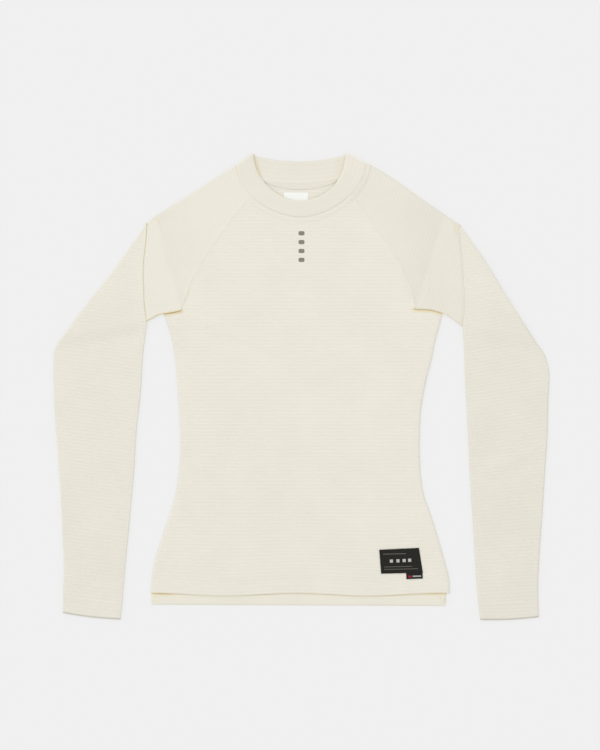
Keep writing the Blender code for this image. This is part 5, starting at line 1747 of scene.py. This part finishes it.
@dataclass
class CollarBand:
    """A doubled band whose ribs run along it: one ring that turns over at both shoulder points."""

    knit: Knit
    neck: NeckCut
    band: float = 2.6
    seam: tuple[float, float, float] = (0.0, 90.3, 314.0)  # centre, half width and height of its sewn edge
    edge: tuple[float, float, float] = (-2.3, 64.8, 329.95)  # the same for its free edge
    edge_lean: float = 0.05
    front_seam_drop: float = 73.05
    front_edge_drop: float = 65.65
    back_seam_drop: float = 26.0
    back_edge_drop: float = 10.35
    front_edge_powers: tuple[float, float] = (1.85, 2.05)  # its roundness to the left and to the right
    back_edge_power: float = 1.6
    settle: float = 0.6  # how much lower its sewn edge lies across the front
    sink: float = 0.5  # how much lower its free edge lies there
    end_reach: float = 2.1  # how much further its sewn edge reaches at the shoulders
    width: float = 23.0
    # How much each face turns down and how wide, at the sewn edge and then at the free edge
    outer_rolls: tuple[float, ...] = (0.48, 4.6, 0.85, 4.2)
    inner_rolls: tuple[float, ...] = (0.25, 1.0, 0.6, 1.8)
    front_stations: int = 150
    back_stations: int = 64
    turn_stations: int = 16
    widths: int = 40
    ribs: int = 5
    rib_rise: float = 0.08
    edge_shades: tuple[float, ...] = (0.08, 1.2, 0.12, 1.5)  # painted shade at both edges, how dark and how wide, as for the rolls
    wedge_shade: float = 0.55  # in the fold at the left shoulder
    wedge_start: float = -50.0
    wedge_width: float = 10.0
    sewn_power: float = 1.7  # how fast the sewn edge's reach fades from the shoulders, in front
    back_sewn_power: float = 6.4
    finish: KnitFinish = KnitFinish("collar_knit", (0.968, 0.971, 0.950))

    def turned(self, side: int) -> list[tuple]:
        """The stations of the half turn at one shoulder, between its two flat ends."""
        edges = ((self.seam, self.neck.lean), (self.edge, self.edge_lean))
        sewn, free = (
            np.array([centre + side * half_width, height + side * lean])
            for (centre, half_width, height), lean in edges
        )
        along = (sewn - free) / np.linalg.norm(sewn - free)
        sewn = sewn + along * self.end_reach
        outward = np.array([-along[1], along[0]]) * side
        found = []
        for quarter in np.linspace(1, -1, self.turn_stations + 1)[1:-1] * side:
            angle = quarter * np.pi / 2
            facing = (*(outward * np.cos(angle)), np.sin(angle))
            found.append((sewn, free, facing, np.zeros(2), (1 + np.sin(angle)) / 2, 0.0))
        return found

    def reached(self, sewn: Path, free: Path, turn: float, power: float) -> Path:
        """A point of the sewn edge drawn out to the neck seam: furthest at the shoulders, by a power."""
        along = (sewn - free) / np.linalg.norm(sewn - free)
        return sewn + along * self.end_reach * (1 - np.sin(turn)) ** power

    def stations(self) -> list[tuple]:
        """The ring's stations.

        Returns:
            For each its sewn and free edge, the way its right side faces, how much lower both edges lie, and
            how strong the ribs are on its outer and its inner side.
        """
        lean = self.neck.lean
        found = []
        for turn in np.linspace(0, np.pi, self.front_stations + 1):
            at = np.array([turn])
            sewn = round_arc(*self.seam, self.front_seam_drop, self.neck.front_power, at, lean)[0]
            power = self.front_edge_powers[int(turn > np.pi / 2)]
            free = round_arc(*self.edge, self.front_edge_drop, power, at, self.edge_lean)[0]
            sewn = self.reached(sewn, free, turn, self.sewn_power)
            level = soft_step(3 * (np.sin(turn) - 0.3)) * np.array([self.settle, self.sink])
            found.append((sewn, free, (0.0, 0.0, 1.0), level, 1.0, 0.0))
        found += self.turned(1)
        for turn in np.linspace(np.pi, 0, self.back_stations + 1):
            at = np.array([turn])
            sewn = round_arc(*self.seam, self.back_seam_drop, self.neck.back_power, at, lean)[0]
            free = round_arc(*self.edge, self.back_edge_drop, self.back_edge_power, at, self.edge_lean)[0]
            sewn = self.reached(sewn, free, turn, self.back_sewn_power)
            inside = soft_step(2.5 * np.sin(turn) - 0.4)
            found.append((sewn, free, (0.0, 0.0, -1.0), np.zeros(2), 0.0, inside))
        return found + self.turned(-1)

    def build(self) -> Piece:
        """Builds the ring and gives it its knit.

        Returns:
            The collar's object.
        """
        cloth = ClothMesh(self.knit.rib_pitch)
        even = np.linspace(0, 1, self.widths + 1)
        shares = 0.35 * (1 - np.cos(np.pi * even)) / 2 + 0.65 * even
        crest = self.rib_rise * (0.5 - 0.5 * np.cos(2 * np.pi * self.ribs * shares))
        from_sewn, from_free = shares * self.width, (1 - shares) * self.width

        def face_height(turned: Callable[[Numbers, float], Numbers], rolls: tuple[float, ...]) -> Numbers:
            """A face's height over the band's middle, which is less where it turns down."""
            at_sewn, sewn_reach, at_free, free_reach = rolls
            sewn_turn, free_turn = turned(from_sewn, sewn_reach), turned(from_free, free_reach)
            return self.band / 2 * (1 - at_sewn * sewn_turn - at_free * free_turn)

        outside, inside = face_height(bent, self.outer_rolls), face_height(rolled, self.inner_rolls)
        sewn_depth, sewn_width, free_depth, free_width = self.edge_shades
        sewn_shade, free_shade = rolled(from_sewn, sewn_width), rolled(from_free, free_width)
        offset = (self.band + self.knit.gap) / 2
        rings, along = [], 0.0
        last = None
        for sewn, free, facing, level, outside_ribs, inside_ribs in self.stations():
            facing = np.array(facing)
            along += 0.0 if last is None else float(np.linalg.norm((sewn + free) / 2 - last))
            last = (sewn + free) / 2
            flat = sewn * (1 - shares)[:, None] + free * shares[:, None]
            sunk = level[0] * (1 - shares) + level[1] * shares
            middle = np.column_stack([flat, self.band + self.knit.gap / 2 - sunk]) + facing * offset
            weave = np.column_stack([np.full(len(shares), along / self.knit.rib_pitch), self.ribs * shares])
            # Painted shade along both edges and in the fold at the left shoulder, and at the shade marks
            # inside the back neck
            in_wedge = soft_step((self.wedge_start - free[0]) / self.wedge_width)
            wedge = self.wedge_shade * in_wedge * outside_ribs
            edge_painted_shade = sewn_depth * sewn_shade + (free_depth + wedge) * free_shade
            ring = []
            for half, ribs, order in ((outside, outside_ribs, 1), (-inside, inside_ribs, -1)):
                skin = middle + facing * (half + np.sign(order) * crest * ribs)[:, None]
                depth = edge_painted_shade + fold_heights(skin[:, 0], skin[:, 1], BAND_SHADE_MARKS) * inside_ribs
                ring += cloth.place(skin[::order, :2], skin[::order, 2], weave[::order], depth[::order])
            rings.append(ring)
        for ring, following in zip(rings, rings[1:] + rings[:1]):
            for i in range(len(ring)):
                cloth.face(ring[i - 1], ring[i], following[i], following[i - 1])
        return cloth.finish("collar_band_knit", self.finish.make())


def make_slab(
    name: str, finish: WovenFinish, low: Path, high: Path, base_at: Shift, thick: float, rows: int,
    crown: float,
) -> Piece:
    """Makes a thin closed piece between two paths of equally many points.

    Args:
        name: the object's name.
        finish: its weave.
        low: its lower edge in plan.
        high: its upper edge in plan.
        base_at: the height of its underside at each place.
        thick: its thickness.
        rows: faces from its lower to its upper edge.
        crown: how much its edges are rounded down.

    Returns:
        The object.
    """
    cloth = ClothMesh(5.0)
    layers = []
    shares = np.linspace(0, 1, rows + 1)
    columns = np.linspace(0, 1, len(low))
    for lift in (0.0, thick):
        placed = []
        for share in shares:
            path = low * (1 - share) + high * share
            edge = np.minimum(np.minimum(columns, 1 - columns), min(share, 1 - share))
            rounding = crown * (edge < 1e-6) if lift else 0.0
            placed.append(cloth.place(path, base_at(path[:, 0], path[:, 1]) + lift - rounding, None, 0.0))
        cloth.rows(placed)
        layers.append(placed)
    bottom, top = layers
    for i in range(rows):
        cloth.face(bottom[i][0], bottom[i + 1][0], top[i + 1][0], top[i][0])
        cloth.face(bottom[i][-1], bottom[i + 1][-1], top[i + 1][-1], top[i][-1])
    for end in (0, -1):
        for i in range(len(low) - 1):
            cloth.face(bottom[end][i], bottom[end][i + 1], top[end][i + 1], top[end][i])
    return cloth.finish(name, finish.make())


@dataclass
class NeckTape:
    """The strip over the back neck seam, on the back's inner face."""

    knit: Knit
    neck: NeckCut
    middle: float = -2.5
    half_width: float = 52.0
    depth: float = 8.4
    end_depth: float = 2.0
    drop: float = -1.3  # its upper edge stands over the neck seam
    thick: float = 0.6
    finish: WovenFinish = WovenFinish("neck_tape_weave", (0.765, 0.725, 0.625), (0.80, 0.77, 0.68), 0.0006)

    def edges(self) -> tuple[Path, Path]:
        """Its lower and upper edge."""
        turns = np.linspace(-np.pi / 2, np.pi / 2, 61)
        across = self.middle + self.half_width * turns / (np.pi / 2)
        rise = 1 - (across / self.neck.half_width) ** 2
        high = np.column_stack([across, self.neck.height - self.neck.back_depth * np.sqrt(rise) - self.drop])
        depth = self.end_depth + (self.depth - self.end_depth) * np.cos(turns) ** 0.8
        return high - np.column_stack([np.zeros(len(across)), depth]), high

    def build(self) -> Piece:
        """Builds the strip and gives it its weave."""
        def resting(x: Numbers, y: Numbers) -> Numbers:
            """The height of its flat underside."""
            return np.full(len(x), self.knit.layer)

        return make_slab("neck_tape_strip", self.finish, *self.edges(), resting, self.thick, 10, 0.1)


@dataclass
class NeckLabel:
    """The small woven label inside the back neck, left plain."""

    knit: Knit
    left: float = -24.4
    right: float = 9.9
    low: float = 259.0
    high: float = 275.9
    thick: float = 0.5
    wave: float = 0.1
    wave_length: float = 6.0
    finish: WovenFinish = WovenFinish("label_satin_weave", (0.885, 0.905, 0.86), (0.955, 0.965, 0.93), 4.5e-4)

    def build(self) -> Piece:
        """Builds the label and gives it its weave."""
        levels = (self.low, self.high)
        low, high = (np.linspace((self.left, level), (self.right, level), 25) for level in levels)

        def resting(x: Numbers, y: Numbers) -> Numbers:
            """The height of its underside, which waves a little."""
            return self.knit.layer + self.wave * np.sin(x / self.wave_length) ** 2

        thick = self.thick - self.wave
        return make_slab("neck_label_woven", self.finish, low, high, resting, thick, 12, 0.15)


@dataclass
class SewnOnBadge:
    """A flat woven piece that lies on the front's ribs."""

    name: str
    corners: tuple[tuple[float, float], ...]
    thick: float
    knit: Knit
    panel: BodyPanel
    finish: WovenFinish

    def build(self) -> Piece:
        """Builds the badge and gives it its weave."""
        corners = np.array(self.corners)
        low = np.linspace(corners[0], corners[1], 41)
        high = np.linspace(corners[3], corners[2], 41)

        def resting(x: Numbers, y: Numbers) -> Numbers:
            """The height of the front's crests under each place."""
            level = y - self.panel.body.front_shift(x, y)
            smooth_top = self.knit.flat_top + fold_heights(x, level, self.panel.folds)
            hem = self.panel.hem_step * self.panel.turned_up(level)
            return smooth_top + hem + self.panel.unevenness.at(x, level) + self.knit.rib_rise + 0.1

        return make_slab(self.name, self.finish, low, high, resting, self.thick, 28, 0.25)


class StitchKind(Enum):
    """How a row of stitches is sewn."""

    RUNNING = "running"  # dashes along the seam
    FLATLOCK = "flatlock"  # threads across the seam between two rows of dashes


# The strands of one stitch: the start, top and end of each, in shares of the pitch, the width and the thread
STRANDS = {
    StitchKind.RUNNING: (((-0.4, 0.0, -0.6), (0.0, 0.0, 1.2), (0.4, 0.0, -0.6)),),
    StitchKind.FLATLOCK: (
        ((-0.45, -0.5, -0.4), (0.0, 0.0, 2.2), (0.45, 0.5, -0.4)),
        ((-0.45, 0.5, -0.4), (0.1, 0.0, 1.6), (0.45, -0.5, -0.4)),
        ((-0.4, 0.5, -0.4), (0.0, 0.5, 1.4), (0.4, 0.5, -0.4)),
        ((-0.4, -0.5, -0.4), (0.0, -0.5, 1.4), (0.4, -0.5, -0.4)),
    ),
}


@dataclass
class StitchRun:
    """Stitches along paths on the cloth, made by one node tree."""

    name: str
    kind: StitchKind
    paths: list[Path]
    pitch: float = 2.6
    width: float = 4.6
    thread: float = 0.2
    smallest: float = 0.88  # the smallest stitch's share of the largest
    seed: int = 7
    finish: ThreadFinish = ThreadFinish()

    def rails(self) -> Piece:
        """The paths as loose edges, in metres."""
        mesh = bpy.data.meshes.new(self.name + "_rails")
        points: list[tuple[float, ...]] = []
        joins: list[tuple[int, int]] = []
        for path in self.paths:
            first = len(points)
            placed = (np.asarray(path, float) - (*MIDDLE, 0.0)) * MM
            points += [tuple(point) for point in placed.tolist()]
            joins += [(number, number + 1) for number in range(first, len(points) - 1)]
        mesh.from_pydata(points, joins, [])
        made = bpy.data.objects.new(self.name, mesh)
        bpy.context.collection.objects.link(made)
        return made

    def tree(self) -> bpy.types.GeometryNodeTree:
        """Builds the node tree, with named inputs for the pitch, width, thread and seed."""
        tree = bpy.data.node_groups.new(self.name + "_stitcher", "GeometryNodeTree")
        face = tree.interface
        face.new_socket(name="Rails", in_out="INPUT", socket_type="NodeSocketGeometry")
        for name in ("Pitch", "Width", "Thread"):
            face.new_socket(name=name, in_out="INPUT", socket_type="NodeSocketFloat")
        face.new_socket(name="Seed", in_out="INPUT", socket_type="NodeSocketInt")
        face.new_socket(name="Finish", in_out="INPUT", socket_type="NodeSocketMaterial")
        face.new_socket(name="Stitches", in_out="OUTPUT", socket_type="NodeSocketGeometry")
        bench = NodeBench(tree)
        given = bench.add("NodeGroupInput").outputs
        sizes = [given[name] for name in ("Pitch", "Width", "Thread")]
        curve = bench.add("GeometryNodeMeshToCurve", Mesh=given["Rails"]).outputs[0]
        evenly = bench.add("GeometryNodeResampleCurve", {"mode": "LENGTH"}, Curve=curve, Length=sizes[0])
        section = bench.add("GeometryNodeCurvePrimitiveCircle", Resolution=5, Radius=sizes[2]).outputs[0]
        stitch = bench.add("GeometryNodeJoinGeometry")
        for strand in STRANDS[self.kind]:
            ends = []
            for shares in strand:
                x, y, z = (bench.math("MULTIPLY", size, share) for size, share in zip(sizes, shares))
                ends.append(bench.add("ShaderNodeCombineXYZ", X=x, Y=y, Z=z).outputs[0])
            ends = dict(zip(("Start", "Middle", "End"), ends))
            bow = bench.add("GeometryNodeCurveQuadraticBezier", Resolution=4, **ends)
            solid = bench.add(
                "GeometryNodeCurveToMesh", Curve=bow.outputs[0], Profile__Curve=section, Fill__Caps=True
            )
            bench.join(solid.outputs[0], stitch.inputs[0])

        tangent = bench.add("GeometryNodeInputTangent").outputs[0]
        around = {"axis": "X", "pivot_axis": "Z"}
        turned = bench.add("FunctionNodeAlignRotationToVector", around, Vector=tangent)
        single = {"data_type": "FLOAT"}
        uneven = bench.add("FunctionNodeRandomValue", single, n2=self.smallest, n3=1.0, Seed=given["Seed"])
        spread = bench.add(
            "GeometryNodeInstanceOnPoints", Points=evenly.outputs[0], Instance=stitch.outputs[0],
            Rotation=turned.outputs[0], Scale=uneven.outputs[1],
        )
        real = bench.add("GeometryNodeRealizeInstances", Geometry=spread.outputs[0])
        shade = bench.add("GeometryNodeSetShadeSmooth", Geometry=real.outputs[0])
        coloured = bench.add("GeometryNodeSetMaterial", Geometry=shade.outputs[0], Material=given["Finish"])
        bench.add("NodeGroupOutput", Stitches=coloured.outputs[0])
        return tree

    def build(self) -> Piece:
        """Runs the tree and keeps its result as a plain mesh.

        Returns:
            The stitches' object.
        """
        made = self.rails()
        tree = self.tree()
        modifier = made.modifiers.new("stitcher", "NODES")
        modifier.node_group = tree
        values = {
            "Pitch": self.pitch * MM,
            "Width": self.width * MM,
            "Thread": self.thread * MM,
            "Seed": self.seed,
            "Finish": self.finish.make(),
        }
        for item in tree.interface.items_tree:
            if item.in_out == "INPUT" and item.name in values:
                modifier[item.identifier] = values[item.name]
        depsgraph = bpy.context.evaluated_depsgraph_get()
        plain = bpy.data.meshes.new_from_object(made.evaluated_get(depsgraph))
        made.modifiers.clear()
        made.data = plain
        return made


@dataclass
class Studio:
    """A pale light table, soft light from the upper left and a camera straight above."""

    lens: float = 110.0
    view_height: float = 1.065  # metres of table that the picture's height covers
    middle: tuple[float, float] = (-0.0021, 0.0165)
    key_strength: float = 0.75
    key_spread: float = 62.0  # degrees: the width of the soft light as seen from the table
    key_place: tuple[float, float, float] = (-1.5, 1.5, 2.4)
    world: float = 0.910
    sensor: float = 36.0
    table_half: float = 4.0

    def build(self) -> Piece:
        """Makes the table, lights and camera.

        Returns:
            The table.
        """
        scene = bpy.context.scene
        scene.view_settings.view_transform = "Standard"
        mesh = bpy.data.meshes.new("table")
        half = self.table_half
        corners = [(-half, -half, 0), (half, -half, 0), (half, half, 0), (-half, half, 0)]
        mesh.from_pydata(corners, [], [(0, 1, 2, 3)])
        table = bpy.data.objects.new("table", mesh)
        mesh.materials.append(FloorFinish().make())
        scene.collection.objects.link(table)
        world = bpy.data.worlds.new("studio")
        world.use_nodes = True
        background = world.node_tree.nodes["Background"]
        background.inputs["Color"].default_value = (1.0, 1.0, 1.0, 1.0)
        background.inputs["Strength"].default_value = self.world
        scene.world = world
        self.key(self.key_place)
        camera = bpy.data.objects.new("camera", bpy.data.cameras.new("camera"))
        scene.collection.objects.link(camera)
        camera.data.lens = self.lens
        camera.data.sensor_width = self.sensor
        distance = self.lens * self.view_height / camera.data.sensor_width
        camera.location = (*self.middle, distance)
        camera.data.clip_start, camera.data.clip_end = 0.1, 20.0
        scene.camera = camera
        return table

    def key(self, place: tuple[float, float, float]) -> None:
        """Adds the wide soft light, which comes from this direction."""
        data = bpy.data.lights.new("key", "SUN")
        data.energy = self.key_strength
        data.angle = np.radians(self.key_spread)
        light = bpy.data.objects.new("key", data)
        light.location = place
        light.rotation_mode = "QUATERNION"
        light.rotation_quaternion = (-Vector(place)).to_track_quat("-Z", "Y")
        bpy.context.scene.collection.objects.link(light)


@dataclass
class Garment:
    """The whole top: builds each piece and says what it stands for."""

    knit: Knit = Knit()
    neck: NeckCut = NeckCut()
    raglan_offset: float = 2.0  # the raglan's two rows of stitches lie this far from the seam
    thread_rise: float = 0.04  # how far the hem's and the cuffs' stitches lie over the cloth
    hem_inset: float = 3.0  # the hem's stitches end this far from the sides

    def __post_init__(self) -> None:
        """Makes the shared cut and the pieces."""
        self.body = BodyCut()
        marks = tuple(placed_bar(MIDDLE[0], y, 4.2, 3.0) for y in (217.8, 205.3, 192.7, 180.1))
        shared = (self.knit, self.neck)
        # Each knit's second value is its tint and painted shade: the sleeves, which catch less light, are
        # drawn darker
        self.front = BodyPanel(
            "front_panel_knit", *shared, self.body, False, FRONT_FOLDS, FRONT_CREASES,
            finish=KnitFinish("front_knit", (0.986, 0.988, 0.974), marks=marks),
        )
        self.back = BodyPanel(
            "back_panel_knit", *shared, self.body, True, creases=BACK_CREASES,
            finish=KnitFinish("back_knit", (0.987, 0.99, 0.962)),
        )
        self.sleeves = {
            "sleeve_left": RaglanSleeve(
                "sleeve_left_knit", *shared, -1, 15.0, LEFT_RAGLAN, LEFT_BACK_RAGLAN, LEFT_UNDERARM,
                LEFT_SHOULDER, LEFT_SECTIONS, LEFT_SLEEVE_FOLDS, LEFT_SLEEVE_CREASES,
                finish=KnitFinish("left_sleeve_knit", (0.969, 0.972, 0.956), lift=0.026),
            ),
            "sleeve_right": RaglanSleeve(
                "sleeve_right_knit", *shared, 1, 17.0, RIGHT_RAGLAN, RIGHT_BACK_RAGLAN, RIGHT_UNDERARM,
                RIGHT_SHOULDER, RIGHT_SECTIONS, RIGHT_SLEEVE_FOLDS, RIGHT_SLEEVE_CREASES,
                under_shade=0.2, valley_reach=6.0, valley_drop=0.3, valley_shade=0.1, contact_shade=0.0,
                tip_shade=0.0, fold_low=0.1,
                finish=KnitFinish("right_sleeve_knit", (0.953, 0.954, 0.944), lift=0.018),
            ),
        }

    def neck_rows(self) -> list[Path]:
        """The two rows of stitches that hold down the neck seam."""
        rows = []
        seams = self.front.seams
        for distance in seams.neck_rows:
            line = inwards(self.neck.line(np.linspace(np.pi - 0.05, 0.05, 160)), distance)
            rows.append(np.column_stack([line, self.knit.flat_top - 0.05 + seams.around_neck(line[:, 0])]))
        return rows

    def raglan_rows(self) -> list[Path]:
        """The rows of stitches along both sides of the two raglan seams."""
        rows = []
        neck_line = self.neck.line(np.linspace(0, np.pi, 60))
        for points, side in ((LEFT_RAGLAN, -1), (RIGHT_RAGLAN, 1)):
            seam = resampled(self.neck.raglan(points, side), 2.0)[4:-2]
            for offset in (-self.raglan_offset, self.raglan_offset):
                line = inwards(seam, offset)
                from_neck = distance_to(neck_line, line[:, 0], line[:, 1])
                lift = self.front.seams.lift(from_neck, np.full(len(line), self.raglan_offset), line[:, 0])
                rows.append(np.column_stack([line, self.knit.flat_top + 0.02 + lift]))
        return rows

    def hem_rows(self) -> list[Path]:
        """The two rows of stitches along the front hem."""
        rows, edges = [], self.front.edges()
        for offset in self.front.hem_rows:
            y = self.front.hem_height + self.front.hem_depth + offset
            sides = (edges["left_side"][::-1], edges["right_side"])
            left, right = (float(np.interp(y, side[:, 1], side[:, 0])) for side in sides)
            x = np.linspace(left + self.hem_inset, right - self.hem_inset, 220)
            line_y = np.full(len(x), y)
            top, _ = self.front.surface(x, line_y, edges)
            shifted = line_y + self.body.front_shift(x, line_y)
            rows.append(np.column_stack([x, shifted, top + self.thread_rise]))
        return rows

    def cuff_rows(self, sleeve: RaglanSleeve) -> list[Path]:
        """The two rows of stitches round a cuff, on the side that shows."""
        rows = []
        inner, outer = sleeve.inner[-1], sleeve.outer[-1]
        up = np.array([inner[1] - outer[1], outer[0] - inner[0]]) / np.linalg.norm(outer - inner)
        for offset in sleeve.cuff_rows:
            rise = up * (sleeve.cuff_depth - offset)
            shares = np.linspace(0.045, 0.955, 60)[:, None]
            line = inner * (1 - shares) + outer * shares + rise
            top, _ = sleeve.fold_surface(line[:, 0], line[:, 1], np.full(len(line), 0.25))
            x = sleeve.side * line[:, 0]
            shifted = line[:, 1] + sleeve.cuff_shift(x, line[:, 1])
            rows.append(np.column_stack([x, shifted, top + self.thread_rise]))
        return rows

    def sew(self) -> dict[str, list[Piece]]:
        """Makes every row of stitches.

        Returns:
            The rows' objects, by the piece that they belong to.
        """
        vents = [np.array([(x, -297.5, 1.75), (x, -303.5, 1.7), (x, -309.0, 1.6)]) for x in (-206.8, 203.6)]
        running = StitchKind.RUNNING
        runs = {
            "front": [
                StitchRun("raglan_stitches", running, self.raglan_rows(), thread=0.15),
                StitchRun("neck_stitches", running, self.neck_rows()),
                StitchRun("hem_stitches", running, self.hem_rows()),
            ],
            "back": [StitchRun("vent_stitches", StitchKind.FLATLOCK, vents, pitch=1.8, width=5.2)],
        }
        for name, sleeve in self.sleeves.items():
            runs[name] = [StitchRun(f"{name}_cuff_stitches", running, self.cuff_rows(sleeve))]
        made = {name: [run.build() for run in rows] for name, rows in runs.items()}
        for piece in sum(made.values(), []):
            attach(piece, "root")
            log.info("%s: %d points", piece.name, len(piece.data.vertices))
        return made

    def take(self, piece: Piece, node: str) -> Piece:
        """Hands a piece over: it rides on the root and replaces its node, which is hidden."""
        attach(piece, "root")
        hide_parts(node)
        log.info("%s: %d points for %s", piece.name, len(piece.data.vertices), node)
        return piece

    def build(self) -> None:
        """Builds and hands over every piece."""
        back = self.take(self.back.build(), "back_panel")
        front = self.take(self.front.build(), "front_panel")
        sleeves = [self.take(sleeve.build(), node) for node, sleeve in self.sleeves.items()]
        collar = self.take(CollarBand(self.knit, self.neck).build(), "collar_band")
        tape = self.take(NeckTape(self.knit, self.neck).build(), "back_neck_tape")
        label = self.take(NeckLabel(self.knit).build(), "neck_label")
        weave = WovenFinish(
            "hem_patch_weave", (0.012, 0.012, 0.0105), (0.024, 0.0235, 0.02), 0.0005, roughness=(0.75, 0.9),
            sheen=0.04, specular=0.15, turn=PATCH_TURN, bars=placed_bars(PATCH_BARS),
        )
        patch = SewnOnBadge("hem_patch_woven", PATCH_CORNERS, 0.9, self.knit, self.front, weave).build()
        self.take(patch, "hem_patch")
        weave = replace(weave, name="hem_tab_weave", bars=placed_bars(TAB_BARS))
        tab = SewnOnBadge("hem_tab_woven", TAB_CORNERS, 0.7, self.knit, self.front, weave).build()
        self.take(tab, "hem_tab")
        sewn = self.sew()
        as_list(sewn["back"])
        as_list(sewn["front"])
        for sleeve, name in zip(sleeves, self.sleeves):
            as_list(sewn[name])


def main() -> None:
    """Builds the studio and the garment."""
    logging.basicConfig(level=logging.INFO, format="%(message)s")
    Studio().build()
    Garment().build()


if __name__ == "__main__":
    main()
